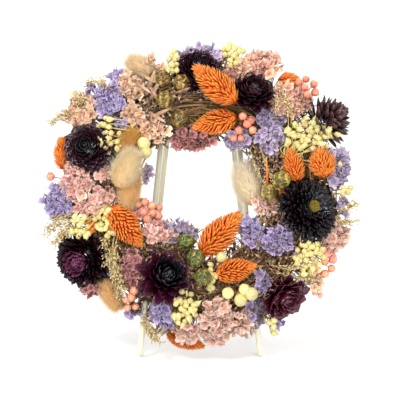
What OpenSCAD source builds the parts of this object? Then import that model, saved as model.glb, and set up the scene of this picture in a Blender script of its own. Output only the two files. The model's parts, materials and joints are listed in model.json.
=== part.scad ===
// Harvest door wreath of dried flowers on a folding wire display easel.
// Millimetres, +Z up. The wreath faces -Y and leans back on the easel; the
// origin is on the floor, under the middle of the whole.
// The wreath is drawn in its own frame: x across, y up its face and z
// (called w here) out of its face, with 0 at the middle of the straw ring.

/* [Straw ring] */
// Radius from the wreath's centre to the middle of the straw
ring_r = 77; // [70:1:95]
// Radius of the straw body itself
straw_r = 18; // [15:0.5:20]
// Thickness of the binding wire
wire_d = 1.1; // [0.8:0.1:1.6]
// Thickness of the bundles of stalks along the front of the straw
bundle_d = 6; // [4:0.5:7]
// How far those bundles stand out of the straw
bundle_rise = 3.2; // [1:0.1:3.4]
// Turns of binding wire round the straw
wire_turns = 14; // [8:1:20]
// How far the wire bites into the straw
wire_bite = 0.6; // [0.4:0.05:0.8]
// Inner radius of the hanging loop
loop_r = 6; // [4:0.5:9]
// Thickness of the hanging loop's wire
loop_wire_d = 1.6; // [1.2:0.1:2]

/* [Easel] */
// Thickness of the coated wire
rod_d = 4.5; // [3.5:0.1:5.5]
// Backward lean of the easel's face and of the wreath
lean = 12; // [8:1:18]
// Distance between the two front feet, middle to middle
foot_span = 96.8; // [84:0.4:108]
// Lean of each side towards the other
converge = 5.7; // [3:0.1:7]
// Height of the front prongs' tops above the shelf arms
prong_rise = 5; // [3:0.5:6]
// Height at which the shelf arms leave the front prongs
arm_h = 43; // [38:1:48]
// Depth of each front foot, from prong to upright
foot_depth = 25; // [22:1:30]
// Length of the uprights up to the top arch, along the lean
upright_l = 186; // [160:1:195]
// Distance of the hinge bar below the top arch
hinge_drop = 12; // [8:1:24]
// Distance from the front prongs back to the floor bar
leg_reach = 84; // [70:1:100]
// Length of the floor bar
floor_bar_l = 93; // [80:1:104]
// Thickness of the hinge bar
hinge_pin_d = 3.2; // [2.6:0.1:4]
// Outer diameter of the hinge sleeve
sleeve_d = 6.4; // [5.6:0.1:8]
// Depth of the flats under the feet
foot_flat = 0.5; // [0.3:0.1:0.8]

/* [Fits] */
// Gap between the wreath and the wire that it leans and rests on
rest_gap = 0.3; // [0.2:0.05:0.5]
// Gap all round the hinge bar inside its sleeve
hinge_gap = 0.08; // [0.05:0.01:0.1]
// Gap at each end of the hinge sleeve
sleeve_end_gap = 0.4; // [0.2:0.1:1]

/* [Flowers] */
// Thickness of a flower stem
stem_d = 1.8; // [1.2:0.1:2.4]
// Diameter of a common strawflower
straw_flower_d = 38; // [30:1:40]
// Diameter of the largest strawflower
big_flower_d = 47; // [40:1:50]
// Thickness of a strawflower from back to front
flower_h = 17; // [12:1:20]
// Width of a canary grass head
canary_w = 19; // [15:0.5:20]
// Width of a bunny tail head
bunny_w = 20; // [15:0.5:21]
// Diameter of a wrinkled seed ball
ball_d = 14; // [10:0.5:15]
// Diameter of a flax pod
pod_d = 6; // [4:0.25:6.5]
// Diameter of a yellow bud
bud_d = 9.5; // [7:0.5:10]
// Diameter of a coral berry
berry_d = 7.5; // [5:0.5:8]
// Diameter of a statice floret
floret_d = 11; // [8:0.5:12]
// Height of a statice tuft above its stem
tuft_h = 13; // [10:0.5:15]

/* [Hidden] */
rod_r = rod_d / 2;
stem_r = stem_d / 2;
wire_r = wire_d / 2;
wire_path_r = straw_r + wire_r - wire_bite;     // middle of the binding wire
up_w = -(straw_r + wire_d - wire_bite + rest_gap + rod_r);  // uprights behind the ring

// Side profile of the easel, in the plane of one side: y back, h up.
side_tilt = atan(tan(converge) / cos(lean));    // each side's tilt about Y
side_lean = atan(tan(lean) * cos(side_tilt));   // lean measured in that plane
front_y = -30;                                  // front prongs, from the origin
prong_h = arm_h + prong_rise;
bend_r = foot_depth / (1 + cos(side_lean));     // bend from prong to upright
bend_h = (bend_r + rod_r - foot_flat) / cos(side_tilt);

// Wreath's centre, from the back plane and the shelf arms that carry it.
up_y = front_y + bend_r * (1 + cos(side_lean));            // upright's lower end
up_z = (bend_h - bend_r * sin(side_lean)) * cos(side_tilt);
arm_x = foot_span / 2 - arm_h * tan(side_tilt);            // arm's distance from the middle
arm_v = -sqrt(pow(ring_r + straw_r + wire_d - wire_bite + rest_gap + rod_r, 2) - pow(arm_x, 2));
pa = up_w + up_y * cos(lean) - up_z * sin(lean);
pb = front_y * sin(lean) + arm_h * cos(lean) - arm_v;
centre_y = pa * cos(lean) + pb * sin(lean);
centre_z = pb * cos(lean) - pa * sin(lean);
centre_x = 2;                                   // brings the whole over the origin

// Top of the uprights and the hinge, in the wreath's frame.
foot_v = (up_y - centre_y) * sin(lean) + (up_z - centre_z) * cos(lean);
foot_x = foot_span / 2 - up_z * tan(side_tilt);
function upright_x(v) = foot_x - (v - foot_v) * tan(converge);
top_v = foot_v + upright_l * cos(converge);
top_x = upright_x(top_v);
arch_r = top_x / cos(converge);
hinge_v = top_v - hinge_drop;
hinge_x = upright_x(hinge_v);
sleeve_l = 2 * (hinge_x - rod_r / cos(converge) - sleeve_end_gap);
hinge_y = centre_y + hinge_v * sin(lean) - up_w * cos(lean);
hinge_z = centre_z + hinge_v * cos(lean) + up_w * sin(lean);
bar_y = front_y + leg_reach;
bar_z = rod_r - foot_flat;
leg_top_x = sleeve_l / 2 - rod_r;
leg_low_x = floor_bar_l / 2 - rod_r;
leg_end = rod_r * 0.3;                          // each leg ends this far short of the bar's middle
place_r = 18;                                   // straw radius that the flowers' places are written for

// Prints the few values that the record needs.
echo(centre_y = centre_y, centre_z = centre_z, hinge_y = hinge_y, hinge_z = hinge_z);
echo(arm_v = arm_v, arm_x = arm_x, up_w = up_w, hinge_v = hinge_v, bar_y = bar_y);

// ---- frames and placing ----

module wreath_frame() {
  translate([centre_x, centre_y, centre_z]) rotate([90 - lean, 0, 0]) children();
}

// Plane of one side of the easel: children are drawn as x = back, y = up.
module side_plane(side) {
  translate([centre_x + side * foot_span / 2, 0, 0])
    rotate([0, -side * side_tilt, 0]) rotate([90, 0, 90]) children();
}

// Turns +Z to the direction d.
module aim(d) {
  rotate([0, acos(d[2] / norm(d)), atan2(d[1], d[0])]) children();
}

module rod(p, q, r) {
  translate(p) aim(q - p) cylinder(r = r, h = norm(q - p), $fn = 48);
}

// A place on the wreath: angle round the ring, distance outside the ring's
// middle line, and height w in front of it.
function at(a, out, w) =
  let (k = straw_r / place_r) [(ring_r + out * k) * cos(a), (ring_r + out * k) * sin(a), w * k];
// Where the stem of something at that place starts, inside the straw.
function root(a, out, w) =
  let (k = 0.55 * place_r / norm([out, w])) at(a, out * k, w * k);

// A head standing on its own stem, +Z away from the straw.
module head(a, out, w, sides = 48) {
  translate(root(a, out, w)) aim(at(a, out, w) - root(a, out, w))
    cylinder(r = stem_r, h = norm(at(a, out, w) - root(a, out, w)) + stem_r / 2, $fn = sides);
  translate(at(a, out, w)) aim(at(a, out, w) - root(a, out, w)) children();
}

// A head that lies along the wreath, from its base b to its tip t, on a
// stem from the place s.
module lying(b, t, s) {
  p = at(b[0], b[1], b[2]);
  q = at(t[0], t[1], t[2]);
  rod(s, p, stem_r);
  translate(p) sphere(r = stem_r, $fn = 48);
  translate(p) aim(q - p) children();
}
function lying_l(b, t) = norm(at(t[0], t[1], t[2]) - at(b[0], b[1], b[2]));

// ---- flower forms ----

// Closed skin over rings of points: each row of the list is one ring.
module skin(rows) {
  n = len(rows);
  m = len(rows[0]);
  first = [0, 0, rows[0][0][2]];
  last = [0, 0, rows[n - 1][0][2]];
  polyhedron(
    points = concat([for (r = rows) each r], [first, last]),
    faces = concat(
      [for (j = [0 : n - 2], i = [0 : m - 1]) each [
        [j * m + i, (j + 1) * m + i, (j + 1) * m + (i + 1) % m],
        [j * m + i, (j + 1) * m + (i + 1) % m, j * m + (i + 1) % m]]],
      [for (i = [0 : m - 1]) [n * m, i, (i + 1) % m]],
      [for (i = [0 : m - 1]) [n * m + 1, (n - 1) * m + (i + 1) % m, (n - 1) * m + i]]
    )
  );
}

// Strawflower: rows of stiff bracts round a domed middle. Each row of the
// profile is [radius, height, lobe depth, turn of the lobes].
module strawflower(d, h) {
  lobes = 9;
  profile = [[0.16, -0.5, 0, 0], [0.62, -0.36, 0.04, 0], [0.86, -0.08, 0.1, 0],
             [0.92, 0.08, 0.1, 0], [0.72, 0.14, 0.09, 20], [0.66, 0.32, 0.09, 20],
             [0.44, 0.34, 0.08, 0], [0.36, 0.46, 0.08, 0], [0.14, 0.42, 0, 0]];
  skin([for (p = profile) [for (i = [0 : 3 * lobes - 1])
    let (a = 120 * i / lobes, r = d / 2 * p[0] * (1 + p[2] * cos(lobes * (a + p[3]))))
    [r * cos(a), r * sin(a), h * (0.5 + p[1])]]]);
}

// Canary grass: a pointed head of overlapping scales.
module canary(l, w) {
  rings = 11;
  m = 12;
  skin([for (k = [0 : rings])
    let (t = 0.02 + 0.96 * k / rings, r = w / 2 * pow(sin(180 * pow(t, 0.68)), 0.75))
    [for (i = [0 : m - 1])
      let (a = 360 * i / m, s = 1 - 0.16 * ((i + k) % 2))
      [r * s * cos(a), r * s * sin(a), (l + stem_r) * k / rings - stem_r]]]);
}

// Bunny tail: a soft egg-shaped head.
module bunny_tail(l, w) {
  n = 12;
  translate([0, 0, -stem_r]) rotate_extrude($fn = 48)
    polygon(concat([[0, 0]],
      [for (k = [1 : n - 1]) let (t = k / n) [w / 2 * pow(sin(180 * pow(t, 0.8)), 0.7), (l + stem_r) * t]],
      [[0, l + stem_r]]));
}

// Round fruits on thin stalks that meet at one root inside the straw.
module fruits(places, d, base) {
  p0 = at(base[0], base[1], base[2]);
  r0 = root(base[0], base[1], base[2]);
  rod(r0, p0, stem_r);
  translate(p0) sphere(r = stem_r * 1.4, $fn = 48);
  for (p = places) {
    q = at(p[0], p[1], p[2]);
    rod(p0, q, stem_r * 0.55);
    translate(q) sphere(d = d, $fn = 48);
  }
}

// Spray of pods set in a spiral, wide across the head's x and y.
module pod_spray(n, wx, wy, rise) {
  for (i = [0 : n - 1]) {
    k = sqrt((i + 0.4) / n);
    q = [wx / 2 * k * cos(137.5 * i), wy / 2 * k * sin(137.5 * i), rise * (1 - 0.55 * k * k)];
    stalk([0, 0, 0], q);
    pod(q, pod_d);
  }
}
module stalk(p, q) {
  translate(p) aim(q - p) cylinder(r = stem_r * 0.5, h = norm(q - p), $fn = 5);
}
module pod(q, d) {
  translate(q) hull() sphere(d = d, $fn = 6);
}

// Statice: a tuft of open funnels round a solid calyx.
module statice(n, wx, wy) {
  scale([wx, wy, 1]) cylinder(d1 = 0.1, d2 = 0.8, h = tuft_h * 0.65, $fn = 7);
  for (i = [0 : n - 1]) {
    k = sqrt((i + 0.3) / n);
    q = [wx / 2 * k * cos(137.5 * i), wy / 2 * k * sin(137.5 * i), tuft_h * (1 - 0.45 * k * k)];
    aim(q) cylinder(r1 = stem_r * 0.8, r2 = floret_d / 2, h = norm(q), $fn = 6);
  }
}

// ---- easel: fixed frame ----

module front_foot(side) {
  side_plane(side) {
    translate([front_y, 0, 0]) {
      translate([0, bend_h, 0]) rotate([-90, 0, 0]) cylinder(r = rod_r, h = prong_h / cos(side_tilt) - bend_h - rod_r, $fn = 48);
      translate([0, prong_h / cos(side_tilt) - rod_r, 0]) sphere(r = rod_r, $fn = 48);
      translate([bend_r, bend_h, 0]) rotate([0, 0, 180])
        rotate_extrude(angle = 180 - side_lean, $fn = 96) translate([bend_r, 0]) circle(r = rod_r, $fn = 48);
    }
  }
}

module foot(side) {
  color("ivory") intersection() {
    front_foot(side);
    translate([centre_x - foot_span, front_y - foot_span, 0]) cube(2 * foot_span);
  }
}

// Centre line of an upright, in the wreath's frame.
function upright_at(side, v) = [side * upright_x(v), v, up_w];

module upright(side) {
  color("ivory") difference() {
    wreath_frame() rod(upright_at(side, foot_v), upright_at(side, top_v), rod_r);
    wreath_frame() rod([-hinge_x, hinge_v, up_w], [hinge_x, hinge_v, up_w], hinge_pin_d / 2);
  }
}

module arm(side) {
  color("ivory") difference() {
    wreath_frame() rod([side * arm_x, arm_v, up_w],
      [side * arm_x, arm_v, (front_y - centre_y) * -cos(lean) + (arm_h - centre_z) * sin(lean)], rod_r * 0.98);
    front_foot(side);
    wreath_frame() rod(upright_at(side, foot_v), upright_at(side, top_v), rod_r);
  }
}

module left_foot() foot(-1);
module right_foot() foot(1);
module left_upright() upright(-1);
module right_upright() upright(1);
module left_shelf_arm() arm(-1);
module right_shelf_arm() arm(1);

module top_arch() {
  color("ivory") wreath_frame() translate([0, top_v - top_x * tan(converge), up_w])
    rotate([0, 0, converge]) rotate_extrude(angle = 180 - 2 * converge, $fn = 96)
      translate([arch_r, 0]) circle(r = rod_r, $fn = 48);
}

module hinge_bar() {
  color("ivory") wreath_frame() rod([-hinge_x, hinge_v, up_w], [hinge_x, hinge_v, up_w], hinge_pin_d / 2);
}

// ---- easel: rear leg ----

module hinge_sleeve() {
  color("ivory") wreath_frame() difference() {
    rod([-sleeve_l / 2, hinge_v, up_w], [sleeve_l / 2, hinge_v, up_w], sleeve_d / 2);
    rod([-sleeve_l, hinge_v, up_w], [sleeve_l, hinge_v, up_w], hinge_pin_d / 2 + hinge_gap);
  }
}

module rear_leg(side) {
  top = [centre_x + side * leg_top_x, hinge_y, hinge_z];
  low = [centre_x + side * leg_low_x, bar_y, bar_z];
  color("ivory") difference() {
    rod(top, low + (top - low) * leg_end / norm(top - low), rod_r);
    translate([centre_x, hinge_y, hinge_z]) rotate([0, 90, 0])
      cylinder(d = sleeve_d, h = foot_span, center = true, $fn = 48);
    translate([centre_x, bar_y, bar_z]) rotate([0, 90, 0])
      cylinder(r = rod_r, h = 2 * foot_span, center = true, $fn = 48);
  }
}

module left_rear_leg() rear_leg(-1);
module right_rear_leg() rear_leg(1);

module floor_bar() {
  color("ivory") intersection() {
    translate([centre_x, bar_y, bar_z]) rotate([0, 90, 0])
      cylinder(r = rod_r, h = floor_bar_l, center = true, $fn = 48);
    translate([centre_x - foot_span, bar_y - foot_span, 0]) cube(2 * foot_span);
  }
}

// ---- wreath: base ----

// Straw ring: a round core with thick bundles of stalks along its front and
// its inner side. Its back and its outer side stay plain, for the easel.
module straw_ring() {
  color("burlywood") wreath_frame() rotate_extrude($fn = 120) translate([ring_r, 0]) {
    circle(r = straw_r, $fn = 60);
    for (a = [55 : 20 : 215]) rotate(a)
      translate([straw_r + bundle_rise - bundle_d / 2, 0]) circle(d = bundle_d, $fn = 24);
  }
}

// Binding wire: one tube wound round the straw, its ends pushed in.
wire_steps = 14;                       // rings of the tube in one turn
wire_span = 350;                       // degrees of the ring that it covers
wire_n = wire_turns * wire_steps;
function wire_point(i) =
  let (k = min(max(i, 0), wire_n), a = 95 + wire_span * k / wire_n, p = 360 * wire_turns * k / wire_n,
       r = wire_path_r - (i < 0 || i > wire_n ? 2 * wire_d : 0))
  [(ring_r + r * cos(p)) * cos(a), (ring_r + r * cos(p)) * sin(a), r * sin(p)];
wire_gap = 2 * (ring_r - straw_r) * sin(wire_span / wire_turns / 2) - wire_d;
echo(least_gap_between_turns = wire_gap);

module binding_wire() {
  sides = 5;
  pts = [for (i = [-1 : wire_n + 1]) wire_point(i)];
  color("darkolivegreen") wreath_frame() wire_tube(pts, sides);
}

// Tube along points: each ring stands square to the line, and keeps its
// first side towards the middle of the straw so that it doesn't twist.
module wire_tube(pts, sides) {
  n = len(pts);
  points = [for (i = [0 : n - 1])
    let (t = pts[min(i + 1, n - 1)] - pts[max(i - 1, 0)], z = t / norm(t),
         g = atan2(pts[i][1], pts[i][0]), c = [ring_r * cos(g), ring_r * sin(g), 0],
         e = i == 0 || i == n - 1 ? [-sin(g), cos(g), 0] : pts[i] - c,
         y = cross(z, e) / norm(cross(z, e)), x = cross(y, z))
    for (k = [0 : sides - 1]) pts[i] + wire_r * (x * cos(360 * k / sides) + y * sin(360 * k / sides))];
  polyhedron(points = points, faces = concat(
    [[for (k = [sides - 1 : -1 : 0]) k]],
    [for (i = [0 : n - 2], k = [0 : sides - 1]) each [
      [i * sides + k, (i + 1) * sides + (k + 1) % sides, (i + 1) * sides + k],
      [i * sides + k, i * sides + (k + 1) % sides, (i + 1) * sides + (k + 1) % sides]]],
    [[for (k = [0 : sides - 1]) (n - 1) * sides + k]]));
}

// Hanging loop: an eye of wire that stands up behind the flowers, on a
// shank pushed into the top of the straw.
loop_w = -straw_r * 0.55;              // behind the middle of the ring
loop_base = sqrt(pow(straw_r, 2) - pow(loop_w, 2));
module hanging_loop() {
  color("darkolivegreen") wreath_frame() translate([0, ring_r, loop_w]) {
    rotate([-90, 0, 0]) cylinder(d = loop_wire_d * 1.6, h = loop_base + 3, $fn = 48);
    translate([0, loop_base + 3 + loop_r, 0])
      rotate_extrude($fn = 64) translate([loop_r + loop_wire_d / 2, 0]) circle(d = loop_wire_d, $fn = 32);
  }
}

// Dry stems laid side by side along the inner front of the straw.
module stem_bundle() {
  color("dimgray") wreath_frame() for (k = [0 : 3])
    rotate([0, 0, 104 + 2 * k]) rotate_extrude(angle = 51 - 5 * k, $fn = 120)
      translate([ring_r - straw_r * 0.93 + 2.4 * k, straw_r * 0.42 + 2.2 * k]) circle(d = 3.4, $fn = 24);
}

// ---- wreath: strawflowers ----

module straw_bloom(a, out, w, d, tint) {
  color(tint) wreath_frame() head(a, out, w) translate([0, 0, -1]) strawflower(d, flower_h);
}
module strawflower_left() straw_bloom(156, 19, 21, straw_flower_d, "indigo");
module strawflower_top() straw_bloom(90, 25, 13, straw_flower_d, "indigo");
module strawflower_top_right() straw_bloom(63, 13, 21, straw_flower_d * 0.84, "indigo");
module strawflower_right_top() straw_bloom(31, 34, 9, straw_flower_d * 0.94, "indigo");
module strawflower_right() straw_bloom(354, 10, 26, big_flower_d, "black");
module strawflower_low_right() straw_bloom(310, 23, 20, straw_flower_d, "indigo");
module strawflower_low() straw_bloom(247, -7, 24, big_flower_d * 0.94, "purple");
module strawflower_low_left() straw_bloom(208, 25, 13, big_flower_d * 0.92, "indigo");

// ---- wreath: canary grass ----

module canary_head(b, t, w) {
  color("darkorange") wreath_frame() lying(b, t, root(b[0], b[1], b[2])) canary(lying_l(b, t), w);
}
module canary_top() canary_head([70, 3, 37], [93, 27, 41], canary_w);
module canary_inner_top() canary_head([66, -8, 24], [98, -22, 22], canary_w * 0.95);
module canary_inner_low() canary_head([272, -32, 17], [340, -42, 20], canary_w * 1.05);
module canary_low() canary_head([282, -14, 24], [311, -6, 31], canary_w * 0.9);
module canary_inner_left() canary_head([187, -6, 28], [224, -16, 24], canary_w);
module canary_bottom() canary_head([257, 35, 6], [273, 44, 4], canary_w * 0.8);
// Two heads, [base, tip, width], whose stems fork from one place in the straw.
module canary_right() {
  fork = root(9, 12, 24);
  color("darkorange") wreath_frame() {
    for (c = [[[9, 1, 24], [29, 4, 27], canary_w * 0.74], [[9, 24, 23], [22, 24, 27], canary_w]])
      lying(c[0], c[1], fork) canary(lying_l(c[0], c[1]), c[2]);
    translate(fork) sphere(r = stem_r * 1.4, $fn = 48);
  }
}

// ---- wreath: bunny tails ----

module tail_head(b, t, w, tint) {
  color(tint) wreath_frame() lying(b, t, root(b[0], b[1], b[2])) bunny_tail(lying_l(b, t), w);
}
module bunny_tail_left() tail_head([170, -17, 34], [150, -9, 32], bunny_w, "navajowhite");
module bunny_tail_top_left() tail_head([111, 26, 9], [117, 49, 9], bunny_w, "navajowhite");
module bunny_tail_inner_right() tail_head([352, -33, 10], [42, -36, 12], bunny_w, "moccasin");
module bunny_tail_low_left() tail_head([236, 33, 12], [219, 24, 12], bunny_w * 0.75, "sandybrown");
module bunny_tail_amber() tail_head([151, -5, 25], [133, -4, 25], bunny_w * 0.7, "peru");

// ---- wreath: seed balls, pods, buds and berries ----

module seed_balls_top() color("olive") wreath_frame()
  fruits([[108, 22, 23], [99, 15, 25], [110, 5, 28], [105, -13, 22]], ball_d, [105, 8, 13]);
module seed_balls_right() color("olive") wreath_frame()
  fruits([[12, -11, 31], [4, -23, 29]], ball_d, [8, -12, 12]);
module seed_balls_low() color("olive") wreath_frame()
  fruits([[253, -40, 20], [266, -29, 32], [272, -14, 34]], ball_d, [264, -17, 10]);
module yellow_buds_low() color("khaki") wreath_frame()
  fruits([[286, 1, 27], [291, 12, 27], [296, 4, 33], [301, 10, 27]], bud_d, [292, 4, 14]);
module coral_berries_top() color("salmon") wreath_frame()
  fruits([[57, -8, 21], [62, -15, 20], [54, -16, 21]], berry_d, [58, -11, 13]);
module coral_berries_left() color("salmon") wreath_frame()
  fruits([[195, -31, 20], [203, -32, 20], [199, -38, 20]], berry_d, [200, -22, 14]);

module pods(a, out, w, n, wx, wy) {
  color("khaki") wreath_frame() head(a, out, w, 6) pod_spray(n, wx, wy, 9);
}
module flax_pods_left() {
  pods(145, 11, 32, 8, 22, 14);
  color("khaki") wreath_frame() for (b = [[134, -16, 24], [141, -21, 22]]) {
    stalk(root(145, 11, 32), at(b[0], b[1], b[2]));
    pod(at(b[0], b[1], b[2]), bud_d);
  }
}
module flax_pods_far_left() pods(195, 12, 18, 10, 22, 34);
module flax_pods_right() pods(29, 17, 21, 13, 30, 30);
module flax_pods_low_right() pods(331, 16, 18, 11, 22, 28);
module flax_pods_low() pods(266, 10, 18, 11, 22, 26);

// ---- wreath: statice ----

// Straight stem with few sides, from p to a little past q.
module twig(p, q) {
  translate(p) aim(q - p) cylinder(r = stem_r, h = norm(q - p) + stem_r / 2, $fn = 6);
}

// One tuft [angle, out, w, width outwards, width along the ring, florets]
// on a stem from the place s.
module tuft(t, s) {
  p = at(t[0], t[1], t[2]);
  twig(s, p);
  translate(p) aim(p - at(t[0], 0, 0)) statice(t[5], t[3], t[4]);
}

// Tufts on stems that meet at one root, at angle a inside the straw. Those
// in the list far stand on a branch that runs along the straw's middle, at
// the height lane.
module tufts(a, near, tint, lane = 0, far = []) {
  r0 = root(a, near[0][1], near[0][2]);
  stops = concat([a], [for (t = far) t[0]]);
  color(tint) wreath_frame() {
    for (t = near) tuft(t, r0);
    if (len(far) > 0) twig(r0, at(a, 0, lane));
    for (i = [0 : 1 : len(far) - 1]) {
      half = (stops[i] + stops[i + 1]) / 2;
      twig(at(stops[i], 0, lane), at(half, 0, lane));
      twig(at(half, 0, lane), at(stops[i + 1], 0, lane));
      tuft(far[i], at(stops[i + 1], 0, lane));
    }
  }
}
module pink_statice_upper_left() tufts(147, [[147, 31, 6, 22, 22, 8]], "lightpink");
module pink_statice_top_left() tufts(118,
  [[121, 17, 18, 20, 20, 8], [120, -13, 15, 8, 8, 8], [97, -24, 3, 16, 22, 8]], "lightpink");
module pink_statice_left() tufts(176, [[176, 14, 15, 28, 30, 8]], "lightpink",
  4, [[223, -23, 12, 14, 12, 6]]);
module pink_statice_right() tufts(343, [[343, 33, 9, 22, 22, 8]], "pink");
module pink_statice_upper_right() tufts(54,
  [[47, 22, 13, 22, 22, 8], [68, 34, 4, 20, 22, 8]], "lightsalmon");
module pink_statice_bottom() tufts(280, [[279, 22, 8, 24, 26, 8]], "pink");
module mauve_statice_low_left() tufts(228, [[228, 3, 19, 16, 18, 8]], "rosybrown",
  0, [[246, -36, 1, 14, 14, 6]]);
module lilac_statice_upper_left() tufts(133, [[133, 23, 12, 18, 18, 8]], "mediumpurple",
  0, [[99, 32, -2, 12, 8, 4], [81, 31, 0, 12, 8, 4]]);
module lilac_statice_left() tufts(183, [[183, 36, 7, 22, 22, 8]], "mediumpurple",
  -4, [[157, -20, 13, 8, 12, 4]]);
module lilac_statice_right() tufts(10, [[10, 33, 7, 24, 24, 8]], "mediumpurple");
module lilac_statice_inner_right() tufts(44, [[44, 2, 18, 18, 18, 8]], "mediumpurple");
module lilac_statice_low_right() tufts(328, [[328, -11, 15, 26, 26, 8]], "mediumpurple");
module lilac_statice_bottom() tufts(296, [[296, 18, 16, 16, 16, 8]], "mediumpurple",
  0, [[249, 13, 15, 14, 10, 5]]);

left_foot();
right_foot();
left_upright();
right_upright();
top_arch();
left_shelf_arm();
right_shelf_arm();
hinge_bar();
hinge_sleeve();
left_rear_leg();
right_rear_leg();
floor_bar();
straw_ring();
binding_wire();
hanging_loop();
stem_bundle();
strawflower_left();
strawflower_top();
strawflower_top_right();
strawflower_right_top();
strawflower_right();
strawflower_low_right();
strawflower_low();
strawflower_low_left();
canary_top();
canary_inner_top();
canary_inner_low();
canary_low();
canary_inner_left();
canary_bottom();
canary_right();
bunny_tail_left();
bunny_tail_top_left();
bunny_tail_inner_right();
bunny_tail_low_left();
bunny_tail_amber();
seed_balls_top();
seed_balls_right();
seed_balls_low();
yellow_buds_low();
coral_berries_top();
coral_berries_left();
flax_pods_left();
flax_pods_far_left();
flax_pods_right();
flax_pods_low_right();
flax_pods_low();
pink_statice_upper_left();
pink_statice_top_left();
pink_statice_left();
pink_statice_right();
pink_statice_upper_right();
pink_statice_bottom();
mauve_statice_low_left();
lilac_statice_upper_left();
lilac_statice_left();
lilac_statice_right();
lilac_statice_inner_right();
lilac_statice_low_right();
lilac_statice_bottom();
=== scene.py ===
import json

import bpy
import numpy as np
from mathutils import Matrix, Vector


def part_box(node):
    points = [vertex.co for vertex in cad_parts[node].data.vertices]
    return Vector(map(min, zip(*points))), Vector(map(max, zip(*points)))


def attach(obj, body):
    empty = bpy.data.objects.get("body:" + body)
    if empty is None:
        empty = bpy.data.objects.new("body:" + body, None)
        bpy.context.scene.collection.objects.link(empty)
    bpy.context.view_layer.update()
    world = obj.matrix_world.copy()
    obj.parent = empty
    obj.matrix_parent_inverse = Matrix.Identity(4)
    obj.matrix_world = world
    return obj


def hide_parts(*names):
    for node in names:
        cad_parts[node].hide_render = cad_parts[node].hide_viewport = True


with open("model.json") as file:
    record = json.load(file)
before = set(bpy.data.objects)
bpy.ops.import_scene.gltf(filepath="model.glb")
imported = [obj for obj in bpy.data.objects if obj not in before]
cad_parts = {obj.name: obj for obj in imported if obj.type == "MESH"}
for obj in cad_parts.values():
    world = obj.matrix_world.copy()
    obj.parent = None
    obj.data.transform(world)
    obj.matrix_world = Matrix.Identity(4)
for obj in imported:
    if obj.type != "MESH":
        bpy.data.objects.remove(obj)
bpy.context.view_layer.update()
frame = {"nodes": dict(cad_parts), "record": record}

# ---- Room, lamps and camera ----
# The wreath on its easel stands on a wide pale table in front of a white
# wall, under a large soft lamp and two weak ones.
MM = 0.001
TABLE_R = 6.0
TABLE_CORNERS = 64
CAMERA_DISTANCE = 2.5
FRAME_WIDTH = 0.32                          # what the camera sees across, at the wreath
SENSOR = 36.0
AIM_BELOW_CENTRE = 0.0024                   # the middle of the view, below the wreath's middle
BUNDLE_RISE = 3.2                           # how far the straw's bundles stand out of its front

lift_joint = next(j for j in frame["record"]["behaviour"]["joints"] if j["name"] == "wreath_lift")
up_face = Vector(lift_joint["axis"]).normalized()
out_face = Vector((0, -up_face.z, up_face.y))
ring_low, ring_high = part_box("straw_ring")
ring_centre = (ring_low + ring_high) / 2 + Vector((0, BUNDLE_RISE * MM / 2, 0))
outer_r = (ring_high.x - ring_low.x) / 2 / MM
half_depth = ((ring_high.y - ring_low.y) / MM - BUNDLE_RISE) / 2
straw_r = (half_depth - outer_r * up_face.y) / (1 - up_face.y)
ring_r = outer_r - straw_r

scene = bpy.context.scene
scene.view_settings.view_transform = "Standard"


def colour(code):
    """The colour of a six-figure code, as the shaders take it."""
    parts = [int(code[i:i + 2], 16) / 255 for i in (0, 2, 4)]
    return [p / 12.92 if p <= 0.04045 else ((p + 0.055) / 1.055) ** 2.4 for p in parts] + [1.0]


def plug(made, inputs):
    """Gives a node's inputs, by label or number, their values or the sockets that feed them."""
    for label, value in inputs.items():
        if isinstance(value, bpy.types.NodeSocket):
            made.id_data.links.new(value, made.inputs[label])
        else:
            made.inputs[label].default_value = value


def node(tree, kind, inputs, **settings):
    """A shader node with its settings and inputs."""
    made = tree.nodes.new("ShaderNode" + kind)
    for label, value in settings.items():
        setattr(made, label, value)
    plug(made, inputs)
    return made


def seen_ray(tree):
    """1 where the camera, a mirror or glass looks, 0 for light that falls on things."""
    path = node(tree, "LightPath", {}).outputs
    first = node(tree, "Math", {0: path["Is Camera Ray"], 1: path["Is Glossy Ray"]}, operation="MAXIMUM")
    both = {0: first.outputs[0], 1: path["Is Transmission Ray"]}
    return node(tree, "Math", both, operation="MAXIMUM").outputs[0]


def where_seen(tree, lit, seen):
    """A level that is lit for light that falls on things and seen where the camera looks."""
    level = node(tree, "MapRange", {"Value": seen_ray(tree), "To Min": lit, "To Max": seen})
    return level.outputs["Result"]


world = bpy.data.worlds.new("studio")
scene.world = world
world.use_nodes = True
plug(world.node_tree.nodes["Background"],
     {"Color": (1, 1, 1, 1), "Strength": where_seen(world.node_tree, 0.78, 1.0)})


def lamp(name, place, size, power):
    """A square soft lamp that points at the wreath."""
    light = bpy.data.lights.new(name, "AREA")
    light.size = size
    light.energy = power
    obj = bpy.data.objects.new(name, light)
    scene.collection.objects.link(obj)
    obj.location = place
    obj.rotation_euler = (ring_centre - Vector(place)).to_track_quat("-Z", "Y").to_euler()


lamp("key_lamp", (-0.9, -1.5, 1.7), 0.45, 28.0)
lamp("fill_lamp", (0.7, -2.1, 0.7), 0.8, 12.0)
lamp("back_lamp", (0.4, 1.6, 1.3), 1.0, 9.0)


def around(sides):
    """Angles that go evenly once round."""
    return 2 * np.pi * np.arange(sides) / sides


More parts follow.
